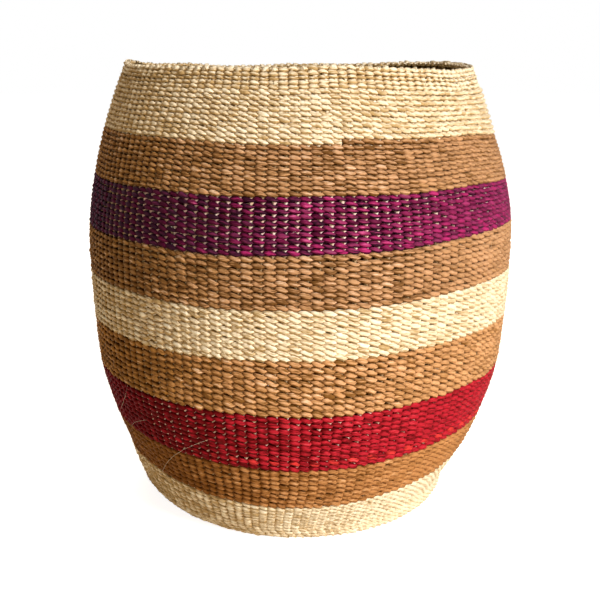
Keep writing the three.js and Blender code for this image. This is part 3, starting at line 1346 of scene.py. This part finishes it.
    def strand(self, index: int, weft: Weft) -> Cord:
        """The path of one strand.

        Args:
            index: the place of its zone in ZONES.
            weft: which of the two strands it is.

        Returns:
            The strand.
        """
        laid = self.stitching(index, weft)
        zone = laid.zone
        facing = laid.facing
        over = laid.over
        swing = np.sin(laid.twist)
        manner = self.manner(zone, laid.angle)
        random = np.random.default_rng(self.seed + 2 * index + (weft is Weft.B))
        height_change, place_change, slant_change, out_change, tone = (
            random.normal(0.0, size, laid.count)[laid.number]
            for size in (
                self.uneven_height,
                self.uneven_place,
                self.uneven_slant,
                self.uneven_out,
                self.uneven_tone,
            )
        )
        chance = random.normal(*self.second_dye_and_painted_light.chance, laid.count)[laid.number]
        pitch = self.spiral.pitch(laid.turns)
        slant = self.slant * (1.0 + (self.upright_slant - 1.0) * manner.upright)
        rise = pitch * (place_change * over + slant * swing * (1.0 + slant_change * facing))
        length = np.maximum(self.spiral.length(laid.turns) + rise, self.shape.profile.knot_radius)
        out = np.sign(facing) * (self.reach_out * over**self.hug + out_change * over)
        crossing = zone.crossing * (1.0 + (self.parted_crossing - 1.0) * manner.parting)
        crossing = crossing + self.calm_crossing * manner.calm
        out = out + crossing * (self.crossing_out - self.tail * swing) * (1.0 - over**2)
        height = 0.5 * zone.fullness * pitch * (1.0 + height_change * over)
        half_up = height * (self.waist + (1.0 - self.waist) * over**self.body)
        if zone.name == "rim":
            height_share, tone_change = self.locking(laid)
            half_up = half_up * height_share
            tone = tone + tone_change
            length = length - self.spiral.run_out(laid.turns)
        # Painted shade and painted light by side of the pot: 0 towards the window lamp and 1 away from it.
        dark = self.away_side_share(laid.angle)
        tone = tone * (1.0 - self.evenness * np.maximum(manner.calm, manner.right))
        # Painted shade: darker crossings where the columns part, and darker strands inside the warps.
        tone = tone - self.gap * manner.parting * (1.0 - over) + np.clip(facing, -self.shade, 0.0)
        # Painted shade at the lower edges, deeper at the left edge and softer where the stitches lie calm.
        groove_shade = self.groove_shade * (1.0 + self.edge_groove_shade * manner.edge)
        groove_shade = groove_shade * (1.0 - self.evenness * np.maximum(zone.calm, manner.calm))
        softness = 1.0 - self.right_softness * manner.right
        return Cord(
            centre=self.shape.place(laid.angle, length, out),
            normal=self.shape.normal(laid.angle, length),
            half_out=self.half_out * (self.bunch + (1.0 - self.bunch) * over),
            half_up=half_up,
            along=laid.stitch,
            # Painted shade on the side away from the window lamp, by the zone's share.
            tone=tone - zone.away_side_shade * dark - zone.right_darkening * manner.right,
            second=self.second_dye_and_painted_light.share(zone, weft, laid.turns - laid.start, dark, chance),
            groove_shade=groove_shade * softness,
            contrast=softness,
        )

    def build(self) -> None:
        """Makes the two strands of each zone."""
        for index, zone in enumerate(ZONES):
            for weft in Weft:
                mesh = StrandMesh(f"{zone.name}_strand_{weft.value}", self.seed + 50 + index)
                mesh.cord(self.strand(index, weft))
                dress(mesh.build(), zone.finish(weft), (f"{zone.name}_weft_{weft.value}",))


@dataclass
class WarpCords:
    """The warp cords, in bundles of four that open out on the base, stained by the strands around them.

    Attributes:
        shape: the pot's shape.
        spiral: the spiral of the rows, which says where cords are added.
        radius: the radius of a cord where it has room.
        room: the largest radius as a share of the distance between warps.
        out: how far outside the middle of the wall the cords stand.
        sink: how much less that is where tan strands cover them.
        red_sink: how much of that the cords of the red zone have on the left side.
        edge_sink: how much of it the cords of the red and purple zones have at the left edge.
        shift: how far they stand to the right of the middle of the stitches, as a share of a stitch.
        places: the place of each cord while its bundle has one, two and four cords, as shares of its width.
        knot_lap: how far the first cord of a bundle reaches into the start knot.
        turn_length: the length in which a cord moves aside for one that is added.
        step: the distance between the sections of a cord.
        stitch: the length of cord that has the fibres of one stitch.
        shaded_side: where the shade of the left side begins and is full, as the sine of the angle.
        side_shade: how much darker the cords of the dyed zones are there.
        edge_shade: how much darker still those of the red and purple zones are at the left edge.
        uneven_tone: how much the cords vary in lightness.
        browning: how much darker they are in the tan zones.
        stain: the mean share of dye that they take in the red and purple zones, and how much it varies.
        seed: the seed of the first bundle.
    """

    shape: HandShape
    spiral: Spiral
    radius: float = 1.6 * MM
    room: float = 0.33
    out: float = 0.6 * MM
    sink: float = 0.7 * MM
    red_sink: float = 0.5
    edge_sink: float = 0.9
    shift: float = 0.28
    places: tuple[tuple[float, float, float], ...] = (
        (-0.375, -0.375, -0.375),
        (0.0, -0.25, -0.125),
        (0.25, 0.25, 0.125),
        (0.375, 0.375, 0.375),
    )
    knot_lap: float = 3 * MM
    turn_length: float = 7 * MM
    step: float = 4.5 * MM
    stitch: float = 6 * MM
    shaded_side: tuple[float, float] = (0.5, 0.8)
    side_shade: float = 0.6
    edge_shade: float = 0.5
    uneven_tone: float = 0.15
    browning: float = 0.9
    stain: tuple[float, float] = (0.8, 0.15)
    seed: int = 300

    def cord(self, bundle: int, number: int, random: np.random.Generator) -> Cord:
        """The path of one cord.

        Args:
            bundle: the number of its bundle.
            number: its number in the bundle.
            random: the random numbers of the bundle.

        Returns:
            The cord.
        """
        profile = self.shape.profile
        doubles = np.array([self.spiral.first_double, self.spiral.second_double])
        first, second = self.spiral.length(doubles - 0.5)
        starts = (second, profile.knot_radius - self.knot_lap, first, second)
        begin = starts[number]
        end = profile.length[-1]
        length = np.linspace(begin, end, round((end - begin) / self.step))
        one, two, four = self.places[number]
        place = one + (two - one) * smooth_step((length - first) / self.turn_length + 0.5)
        place = place + (four - two) * smooth_step((length - second) / self.turn_length + 0.5)
        facets = len(BUNDLE_NODES)
        angle = (bundle + 0.5 + place + self.shift / CORDS_PER_BUNDLE) * TURN / facets
        count = facets * (1 + (length > first) + 2 * (length > second))
        apart = TURN * profile.at(length)[0] / count
        radius = np.minimum(self.radius, self.room * apart)
        slots = np.array([zone.finish_a.slot for zone in ZONES])
        slot = slots[np.clip(np.searchsorted(profile.bounds, length) - 1, 0, len(ZONES) - 1)]
        browned = 1.0 * (slot == "tan_sisal")
        reddened = 1.0 * np.isin(slot, ("red_sisal", "purple_sisal"))
        left = ramp(-np.sin(angle), self.shaded_side)
        edge = ramp(-np.sin(angle), LEFT_EDGE)
        sunk = browned + self.red_sink * (slot == "red_sisal") * left + self.edge_sink * reddened * edge
        shaded = self.side_shade * (reddened + browned) * left + self.edge_shade * reddened * edge
        return Cord(
            centre=self.shape.place(angle, length, self.out - self.sink * sunk),
            normal=self.shape.normal(angle, length),
            half_out=radius,
            half_up=radius,
            along=length / self.stitch,
            tone=random.normal(0.0, self.uneven_tone) - self.browning * browned - shaded,
            second=np.clip(random.normal(*self.stain), 0.0, 1.0) * reddened,
        )

    def build(self) -> None:
        """Makes the bundles."""
        for bundle, node in enumerate(BUNDLE_NODES):
            random = np.random.default_rng(self.seed + bundle)
            mesh = StrandMesh(f"warp_cords_{bundle + 1:02d}", self.seed + bundle)
            for number in range(CORDS_PER_BUNDLE):
                mesh.cord(self.cord(bundle, number, random))
            dress(mesh.build(), WARP_CREAM, (node,))


def pick_up(name: str) -> tuple[np.ndarray, np.ndarray]:
    """Takes the mesh of the active object and deletes the object.

    The operators leave points and faces in an order that changes from run to run, so both are sorted.

    Args:
        name: what the shape is called in the log.

    Returns:
        Its vertices and its faces of four corners.
    """
    shape = bpy.context.object
    vertices = np.array([corner.co for corner in shape.data.vertices])
    faces = np.array([list(face.vertices) for face in shape.data.polygons if len(face.vertices) == 4])
    bpy.data.objects.remove(shape)
    order = np.lexsort(np.round(vertices / MERGE_DISTANCE).T)
    faces = np.argsort(order)[faces]
    lowest_first = (faces.argmin(axis=1)[:, None] + np.arange(4)) % 4
    faces = np.take_along_axis(faces, lowest_first, axis=1)
    LOG.info("%s modelled with %d faces", name, len(faces))
    return vertices[order], faces[np.lexsort(faces.T)]


@dataclass
class RimFold:
    """The warp ends that are turned over the last row, and their trimmed tips below the locking rows.

    Attributes:
        shape: the pot's shape.
        spiral: the spiral of the rows.
        half_width: half the width of a folded end, along the rim.
        half_thickness: half its thickness.
        bend_radius: the radius of its bend.
        leg: how far its legs reach down.
        lift: how far the middle of the bend lies above the last row.
        slant: how far a folded end is turned about the upright, so that it lies askew on the rim.
        tilt: how far it leans along the rim.
        closing: the size of the rings that close the ends, as a share of the full size.
        bend_steps: the number of steps in the bend.
        foot_share: the part of a leg in which it comes to its full size.
        tip_length: the length of a trimmed tip.
        tip_radius: about its radius where it is thickest.
        tip_rings: for each further ring of a tip, how far it is drawn, as a share of the tip's length, and
            its size, as a share of the ring before.
        tip_share: the share of the warps whose tips show.
        tip_row: how many rows below the last one the tips stick out.
        tip_out: how far outside the middle of the wall they do.
        tip_turn: how they are turned, so that they hang.
        tip_tone: their mean lightness, and how much it varies.
        second: the share of the second dye.
        fibre_spread: how far the fibres of half a folded end go round a strand, in turns.
        inside_shade: how much darker the folded ends are inside the pot.
        shade_start: where that shade begins, in bend radii outside the middle of the wall.
        uneven_lift: how much the folded ends vary in height.
        uneven_out: how much they vary in how far they stand out.
        uneven_turn: how much they vary in how they are turned.
        uneven_tone: how much they vary in lightness.
        uneven_tip_row: how much the tips lie above or below their place, in rows.
        uneven_tip_turn: how much they vary in how they are turned.
        seed: the seed of the rim.
    """

    shape: HandShape
    spiral: Spiral
    half_width: float = 2.3 * MM
    half_thickness: float = 1.1 * MM
    bend_radius: float = 2.6 * MM
    leg: float = 2.5 * MM
    lift: float = 0.3 * MM
    slant: float = -0.3
    tilt: float = -0.12
    closing: float = 0.05
    bend_steps: int = 5
    foot_share: float = 0.1
    tip_length: float = 2.4 * MM
    tip_radius: float = 0.6 * MM
    tip_rings: tuple[tuple[float, float], ...] = ((0.15, 14.0), (0.5, 1.4), (0.25, 0.8), (0.1, 0.06))
    tip_share: float = 0.9
    tip_row: float = 2.4
    tip_out: float = 2.7 * MM
    tip_turn: tuple[float, float, float] = (0.0, math.pi, 0.0)
    tip_tone: tuple[float, float] = (-0.4, 0.2)
    second: float = 0.3
    fibre_spread: float = 0.3
    inside_shade: float = 2.0
    shade_start: float = 0.3
    uneven_lift: float = 0.15 * MM
    uneven_out: float = 0.12 * MM
    uneven_turn: tuple[float, float, float] = (0.06, 0.08, 0.1)
    uneven_tone: float = 0.15
    uneven_tip_row: float = 0.12
    uneven_tip_turn: tuple[float, float, float] = (0.15, 0.6, 0.0)
    seed: int = 500

    def draw(self, rise: float, size: float, middle: tuple[float, float, float] = (0.0, 0.0, 0.0)) -> None:
        """Draws the selected ring up or down and changes its size.

        Args:
            rise: how far it goes up.
            size: its new size, as a share of the size it has.
            middle: what it grows or shrinks around.
        """
        bpy.ops.mesh.extrude_region_move(TRANSFORM_OT_translate={"value": (0.0, 0.0, rise)})
        bpy.ops.transform.resize(value=(size, size, 1.0), center_override=middle)

    def finish_shape(self, name: str) -> tuple[np.ndarray, np.ndarray]:
        """Joins the rings of the shape that is being modelled and picks it up.

        Args:
            name: what the shape is called in the log.

        Returns:
            Its vertices and faces.
        """
        bpy.ops.mesh.select_all(action="SELECT")
        bpy.ops.mesh.remove_doubles(threshold=MERGE_DISTANCE)
        bpy.ops.mesh.normals_make_consistent(inside=False)
        bpy.ops.object.mode_set(mode="OBJECT")
        return pick_up(name)

    def loop(self) -> tuple[np.ndarray, np.ndarray]:
        """Models one folded end: a flat section that is drawn up, spun over the rim and drawn down again.

        Returns:
            Its vertices, as places along the rim, outwards and up, and its faces.
        """
        outside = (0.0, self.bend_radius, -self.leg)
        inside = (0.0, -self.bend_radius, -self.leg)
        foot = self.foot_share * self.leg
        straight = self.leg - foot
        bpy.ops.object.select_all(action="DESELECT")
        bpy.ops.mesh.primitive_circle_add(vertices=SIDES, radius=self.closing, location=outside)
        bpy.ops.transform.resize(value=(self.half_width, self.half_thickness, 1.0))
        bpy.ops.object.transform_apply(location=True, rotation=True, scale=True)
        bpy.ops.object.mode_set(mode="EDIT")
        bpy.ops.mesh.select_all(action="SELECT")
        self.draw(foot, 1.0 / self.closing, outside)
        self.draw(straight, 1.0)
        bpy.ops.mesh.spin(steps=self.bend_steps, angle=math.pi, center=(0, 0, 0), axis=(1, 0, 0))
        self.draw(-straight, 1.0)
        self.draw(-foot, self.closing, inside)
        return self.finish_shape("folded end")

    def tip(self) -> tuple[np.ndarray, np.ndarray]:
        """Models one trimmed tip: a short stub that is thickest before its end, with closed ends.

        Returns:
            Its vertices, as places along the rim, outwards and up, and its faces.
        """
        bpy.ops.object.select_all(action="DESELECT")
        bpy.ops.mesh.primitive_circle_add(vertices=SIDES, radius=self.closing * self.tip_radius)
        bpy.ops.object.mode_set(mode="EDIT")
        bpy.ops.mesh.select_all(action="SELECT")
        for rise, grow in self.tip_rings:
            self.draw(rise * self.tip_length, grow)
        return self.finish_shape("trimmed tip")

    def top_row(self, angle: float) -> float:
        """The count of turns of the last row at an angle."""
        last = self.spiral.ends[-1] - 1 - angle / TURN
        return last if last <= self.spiral.zone_end(len(ZONES) - 1) else last - 1.0

    def stamp(
        self,
        mesh: StrandMesh,
        shape: tuple[np.ndarray, np.ndarray],
        angle: float,
        length: float,
        out: float,
        turn: Euler,
        tone: float,
    ) -> None:
        """Sets a copy of a shape on the wall.

        Args:
            mesh: the mesh that takes it.
            shape: the shape's vertices and faces.
            angle: the angle around the pot.
            length: the length along the profile.
            out: the distance outwards from the middle of the wall.
            turn: how the copy is turned first.
            tone: its lightness, darkened by painted shade inside the pot.
        """
        vertices, faces = shape
        local = vertices @ np.array(turn.to_matrix()).T
        origin = self.shape.place(np.array(angle), np.array(length), np.array(out))
        normal = self.shape.normal(np.array(angle), np.array(length))
        along = np.array([math.cos(angle), math.sin(angle), 0.0])
        up = np.cross(normal, along)
        places = origin + local[:, :1] * along + local[:, 1:2] * normal + local[:, 2:] * up
        bend = np.arctan2(vertices[:, 2], vertices[:, 1])
        side = vertices[:, 0] / self.half_width * self.fibre_spread
        uv = np.stack([bend, side + mesh.random.uniform(0.0, 50.0)], axis=-1)[faces]
        # Painted shade on the parts that lie inside the pot.
        inside = np.clip(self.shade_start - vertices[:, 1] / self.bend_radius, 0.0, 1.0)
        even = np.ones(len(vertices))
        mesh.add(places, faces, uv, tone - self.inside_shade * inside, self.second * even, even)

    def build(self) -> None:
        """Makes the folded ends and the tips."""
        random = np.random.default_rng(self.seed)
        mesh = StrandMesh("rim_folded_ends", self.seed)
        loop = self.loop()
        tip = self.tip()
        for warp in range(WARPS):
            angle = (warp + 0.5) * TURN / WARPS
            signed = math.atan2(math.sin(angle), math.cos(angle))
            row = self.top_row(signed)
            length = float(self.spiral.length(np.array(row + 0.5)) - self.spiral.run_out(np.array(row)))
            length = length + self.lift + random.normal(0.0, self.uneven_lift)
            askew = random.normal((0.0, self.tilt, self.slant), self.uneven_turn)
            out = random.normal(0.0, self.uneven_out)
            tone = random.normal(0.0, self.uneven_tone)
            self.stamp(mesh, loop, signed, length, out, Euler(askew), tone)
            if random.random() > self.tip_share:
                continue
            tip_row = row - self.tip_row + random.normal(0.0, self.uneven_tip_row)
            length = float(self.spiral.length(np.array(tip_row)))
            hanging = random.normal(self.tip_turn, self.uneven_tip_turn)
            tone = random.normal(*self.tip_tone)
            self.stamp(mesh, tip, signed, length, self.tip_out, Euler(hanging), tone)
        dress(mesh.build(), SHADED_RIM_CREAM, ("rim_fold",))


@dataclass
class StartKnot:
    """The start of the base: crossed cords, bound by the first rows.

    Attributes:
        shape: the pot's shape.
        rows: the number of binding rows.
        crossed: the number of cords that lie each way.
        stitches: the number of stitches in a binding row.
        cord_radius: half the width of a crossed cord.
        spacing: the distance between crossed cords, in cord radii.
        cord_points: the number of sections of a crossed cord.
        cord_stitch: the length of crossed cord that has the fibres of one stitch.
        weave_depth: how far a crossed cord goes over and under the others, in cord radii.
        flatness: the thickness of a crossed cord as a share of its width.
        second: the share of the second dye.
        tone_change: how much the binding strands vary in lightness.
        tone_speed: how fast they do, in radians to a stitch.
        half_out: half the thickness of a binding strand, through the base.
        reach_out: how far its middle lies from the middle of the base, over a cord.
        slant: how far it swings sideways where it crosses, as a share of the row.
        waist: its width where it crosses, as a share of its width over a cord.
        inner_radius: the radius at which the binding starts.
        steps: the number of sections in a stitch.
        seed: the seed of the knot.
    """

    shape: HandShape
    rows: int = 5
    crossed: int = 4
    stitches: int = 17
    cord_radius: float = 1.7 * MM
    spacing: float = 2.1
    cord_points: int = 33
    cord_stitch: float = 5 * MM
    weave_depth: float = 0.9
    flatness: float = 0.8
    second: float = 0.2
    tone_change: float = 0.1
    tone_speed: float = 3.0
    half_out: float = 1.0 * MM
    reach_out: float = 2.6 * MM
    slant: float = 0.28
    waist: float = 0.6
    inner_radius: float = 8.5 * MM
    steps: int = 5
    seed: int = 700

    def crossing(self, number: int, turned: bool) -> Cord:
        """One of the crossed cords.

        Args:
            number: its number.
            turned: whether it runs along Y and not along X.

        Returns:
            The cord.
        """
        profile = self.shape.profile
        reach = np.linspace(-profile.knot_radius, profile.knot_radius, self.cord_points)
        apart = self.spacing * self.cord_radius
        side = (number - (self.crossed - 1) / 2) * apart
        weave = np.cos(reach / apart * math.pi + math.pi * (number + turned))
        woven = np.abs(reach) < self.inner_radius
        height = 0.5 * profile.wall + self.weave_depth * self.cord_radius * weave * woven
        flat = np.full_like(reach, side)
        x, y = (flat, reach) if turned else (reach, flat)
        even = np.ones_like(reach)
        return Cord(
            centre=np.stack([x, y, height], axis=-1),
            normal=np.stack([0 * even, 0 * even, -even], axis=-1),
            half_out=self.flatness * self.cord_radius * even,
            half_up=self.cord_radius * even,
            along=reach / self.cord_stitch,
            tone=0.0 * even,
            second=self.second * even,
        )

    def binding(self, weft: Weft) -> Cord:
        """One of the two binding strands.

        Args:
            weft: which of the two it is.

        Returns:
            The strand.
        """
        profile = self.shape.profile
        turns = np.linspace(0.0, self.rows, self.rows * self.stitches * self.steps + 1)
        pitch = (profile.knot_radius - self.inner_radius) / (self.rows - 0.5)
        twist = math.pi * turns * self.stitches
        if weft is Weft.B:
            twist = twist + math.pi
        length = self.inner_radius + pitch * (turns - self.slant * np.sin(twist))
        angle = -TURN * turns
        over = np.abs(np.cos(twist))
        return Cord(
            centre=self.shape.place(angle, length, self.reach_out * np.cos(twist)),
            normal=self.shape.normal(angle, length),
            half_out=self.half_out * np.ones_like(turns),
            half_up=0.5 * pitch * (self.waist + (1.0 - self.waist) * over),
            along=turns * self.stitches,
            tone=self.tone_change * np.sin(self.tone_speed * turns * self.stitches),
            second=self.second * np.ones_like(turns),
        )

    def build(self) -> None:
        """Makes the knot."""
        mesh = StrandMesh("start_knot_cords", self.seed)
        for number in range(self.crossed):
            for turned in (False, True):
                mesh.cord(self.crossing(number, turned))
        for weft in Weft:
            mesh.cord(self.binding(weft))
        dress(mesh.build(), CREAM, ("start_knot",))


@dataclass
class StrayFibres:
    """Single fibres that stand out from the strands.

    Attributes:
        shape: the pot's shape.
        count: how many short ones there are.
        radius: the radius of a short one.
        long_radius: the radius of a long one.
        long_ones: the angle in degrees, the length along the profile, the length, the lean along the wall
            and the lift of each long fibre.
        sizes: the least and the greatest length of a short one.
        lifts: the least and the greatest lift of a short one.
        above_base: how far up from the base the short ones begin, along the profile.
        root_depth: how far below the outside of the wall a fibre starts.
        sideways_curl: how much more it leans sideways towards its end.
        droop: how much less it rises towards its end.
        bend: how the lift falls off: its share at the start, and how much of that is lost at the end.
        tone: the lightness of a fibre.
        skew: what is added to the normal of its section, so that it is never along the fibre.
        points: the number of sections of a fibre.
        sides: the number of sides of its section.
        seed: the seed of the short ones.
    """

    shape: HandShape
    count: int = 45
    radius: float = 0.06 * MM
    long_radius: float = 0.09 * MM
    long_ones: tuple[tuple[float, float, float, float, float], ...] = (
        (-86, 0.305, 0.010, 0.6, 0.5),
        (-50.3, 0.217, 0.046, -2.6, 0.03),
        (-61, 0.169, 0.046, 0.80, 0.02),
        (-52, 0.128, 0.098, 0.53, 0.02),
    )
    sizes: tuple[float, float] = (3.0 * MM, 8.0 * MM)
    lifts: tuple[float, float] = (0.05, 0.4)
    above_base: float = 20 * MM
    root_depth: float = 0.6 * MM
    sideways_curl: float = 0.25
    droop: float = 0.2
    bend: tuple[float, float] = (1.2, 0.4)
    tone: float = 0.3
    skew: float = 0.3
    points: int = 8
    sides: int = 3
    seed: int = 900

    def fibre(
        self, angle: float, length: float, size: float, lean: float, lift: float, thick: float
    ) -> Cord:
        """One fibre, which leaves the wall and curls away.

        Args:
            angle: where it starts, around the pot.
            length: where it starts, along the profile.
            size: its length.
            lean: its direction along the wall, in radians from straight up.
            lift: how steeply it leaves the wall.
            thick: its radius.

        Returns:
            The fibre.
        """
        run = np.linspace(0.0, 1.0, self.points)
        radius = float(self.shape.profile.at(np.array(length))[0])
        sideways = size * math.sin(lean) * (run + self.sideways_curl * run * run)
        upwards = size * math.cos(lean) * (run - self.droop * run * run)
        root = 0.5 * self.shape.profile.wall - self.root_depth
        out = root + size * lift * run * (self.bend[0] - self.bend[1] * run)
        even = np.ones_like(run)
        angles = angle + sideways / radius
        lengths = length + upwards
        return Cord(
            centre=self.shape.place(angles, lengths, out),
            normal=self.shape.normal(angles, lengths) + self.skew,
            half_out=thick * even,
            half_up=thick * even,
            along=run,
            tone=self.tone * even,
            second=0.0 * even,
        )

    def build(self) -> None:
        """Makes all the fibres."""
        random = np.random.default_rng(self.seed)
        mesh = StrandMesh("stray_fibres", self.seed, lumps=0.0)
        low = self.shape.profile.bounds[1] + self.above_base
        high = self.shape.profile.length[-1]
        for _ in range(self.count):
            angle = random.uniform(-math.pi, math.pi)
            length = random.uniform(low, high)
            size = random.uniform(*self.sizes)
            lean = random.uniform(0.0, TURN)
            lift = random.uniform(*self.lifts)
            mesh.cord(self.fibre(angle, length, size, lean, lift, self.radius), self.sides)
        for degrees, length, size, lean, lift in self.long_ones:
            angle = math.radians(degrees)
            mesh.cord(self.fibre(angle, length, size, lean, lift, self.long_radius), self.sides)
        dress(mesh.build(), WARP_CREAM)


@dataclass(frozen=True)
class Lamp:
    """A soft lamp that looks at the middle of the pot.

    Attributes:
        name: its name.
        place: where it stands.
        size: its width.
        power: its power in watts.
        colour: its colour.
    """

    name: str
    place: tuple[float, float, float]
    size: float
    power: float
    colour: Colour

    def build(self, target: Vector) -> None:
        """Makes the lamp.

        Args:
            target: what it looks at.
        """
        light = bpy.data.lights.new(self.name, "AREA")
        light.shape = "DISK"
        light.size = self.size
        light.energy = self.power
        light.color = self.colour
        lamp = bpy.data.objects.new(self.name, light)
        lamp.location = self.place
        lamp.rotation_euler = (target - Vector(self.place)).to_track_quat("-Z", "Y").to_euler()
        bpy.context.scene.collection.objects.link(lamp)


@dataclass
class Studio:
    """The camera, the lamps, the pale floor and the white surroundings.

    Attributes:
        camera_place: where the camera stands.
        camera_pitch: how far it is turned up from looking straight down.
        lens: its focal length, in millimetres.
        sensor: the width of its sensor, in millimetres.
        floor_size: the width of the floor.
        floor_colour: the colour in which the floor reflects light.
        shadow_depth: how much darker the floor looks under the pot.
        shadow_reach: the distances from the middle between which that fades.
        ambient: the light of the surroundings.
        lamps: the lamps.
    """

    camera_place: tuple[float, float, float] = (1.0 * MM, -616.4 * MM, 307.7 * MM)
    camera_pitch: float = math.radians(90.0 - 15.87)
    lens: float = 52.66
    sensor: float = 36.0
    floor_size: float = 12.0
    floor_colour: Colour = (0.92, 0.82, 0.66)
    shadow_depth: float = 0.10
    shadow_reach: tuple[float, float] = (0.22, 0.60)
    ambient: Colour = (0.012, 0.009, 0.005)
    lamps: tuple[Lamp, ...] = (
        Lamp("window_lamp", (1.01, -1.01, 0.88), 0.6, 30.5, (1.0, 0.98, 0.96)),
        Lamp("room_fill", (-0.27, -1.53, 0.10), 0.8, 6.5, (1.0, 0.84, 0.62)),
        Lamp("ceiling_lamp", (-0.50, 0.30, 1.50), 0.4, 7.0, (1.0, 0.80, 0.58)),
        Lamp("back_fill", (0.05, 1.50, 0.70), 1.0, 6.0, (1.0, 0.95, 0.88)),
    )

    def build(self) -> None:
        """Makes the whole studio."""
        scene = bpy.context.scene
        scene.view_settings.view_transform = "Standard"
        lens = bpy.data.cameras.new("photo_camera")
        lens.lens = self.lens
        lens.sensor_width = self.sensor
        camera = bpy.data.objects.new("photo_camera", lens)
        camera.location = self.camera_place
        camera.rotation_euler = (self.camera_pitch, 0.0, 0.0)
        scene.collection.objects.link(camera)
        scene.camera = camera
        low, high = (Vector(corner) for corner in CAD_BOX)
        for lamp in self.lamps:
            lamp.build((low + high) / 2)
        self.floor()
        self.surroundings()

    def seen(self, tree: bpy.types.NodeTree) -> bpy.types.NodeSocket:
        """Adds nodes that tell rays which show the background from rays that carry light.

        Args:
            tree: the node tree that gets them.

        Returns:
            A socket that is 1 for camera, glossy and transmission rays.
        """
        path = tree.nodes.new("ShaderNodeLightPath")
        total = path.outputs["Is Camera Ray"]
        for name in ("Is Glossy Ray", "Is Transmission Ray"):
            either = tree.nodes.new("ShaderNodeMath")
            either.operation = "MAXIMUM"
            tree.links.new(total, either.inputs[0])
            tree.links.new(path.outputs[name], either.inputs[1])
            total = either.outputs[0]
        return total

    def floor(self) -> None:
        """Makes the floor: white to the eye, with the pot's shadow on it."""
        bpy.ops.object.select_all(action="DESELECT")
        bpy.ops.mesh.primitive_plane_add(size=self.floor_size)
        floor = bpy.context.object
        floor.name = "studio_floor"
        material = bpy.data.materials.new("pale_floor")
        material.use_nodes = True
        tree = material.node_tree
        tree.nodes.clear()
        paint = tree.nodes.new("ShaderNodeBsdfDiffuse")
        paint.inputs["Color"].default_value = (*self.floor_colour, 1.0)
        place = tree.nodes.new("ShaderNodeTexCoord")
        away = tree.nodes.new("ShaderNodeVectorMath")
        away.operation = "LENGTH"
        tree.links.new(place.outputs["Object"], away.inputs[0])
        level = tree.nodes.new("ShaderNodeMapRange")
        level.interpolation_type = "SMOOTHSTEP"
        level.inputs["From Min"].default_value = self.shadow_reach[0]
        level.inputs["From Max"].default_value = self.shadow_reach[1]
        level.inputs["To Min"].default_value = 1.0 - self.shadow_depth
        tree.links.new(away.outputs["Value"], level.inputs["Value"])
        share = tree.nodes.new("ShaderNodeMath")
        share.operation = "MULTIPLY"
        tree.links.new(level.outputs["Result"], share.inputs[0])
        tree.links.new(self.seen(tree), share.inputs[1])
        white = tree.nodes.new("ShaderNodeEmission")
        tree.links.new(share.outputs[0], white.inputs["Strength"])
        both = tree.nodes.new("ShaderNodeAddShader")
        tree.links.new(paint.outputs["BSDF"], both.inputs[0])
        tree.links.new(white.outputs["Emission"], both.inputs[1])
        output = tree.nodes.new("ShaderNodeOutputMaterial")
        tree.links.new(both.outputs["Shader"], output.inputs["Surface"])
        floor.data.materials.append(material)

    def surroundings(self) -> None:
        """Makes the world: white to the eye, and dim as a light."""
        world = bpy.data.worlds.new("studio_air")
        world.use_nodes = True
        tree = world.node_tree
        background = tree.nodes["Background"]
        colour = tree.nodes.new("ShaderNodeMix")
        colour.data_type = "RGBA"
        colour.inputs["A"].default_value = (*self.ambient, 1.0)
        colour.inputs["B"].default_value = (1.0, 1.0, 1.0, 1.0)
        tree.links.new(self.seen(tree), colour.inputs["Factor"])
        tree.links.new(colour.outputs["Result"], background.inputs["Color"])
        bpy.context.scene.world = world


def main() -> None:
    """Builds the studio and the pot."""
    logging.basicConfig(level=logging.INFO, format="%(name)s: %(message)s")
    Studio().build()
    profile = WallProfile()
    shape = HandShape(profile)
    spiral = Spiral(profile)
    WarpCords(shape, spiral).build()
    TwinedWeft(shape, spiral).build()
    RimFold(shape, spiral).build()
    StartKnot(shape).build()
    StrayFibres(shape).build()


if __name__ == "__main__":
    main()
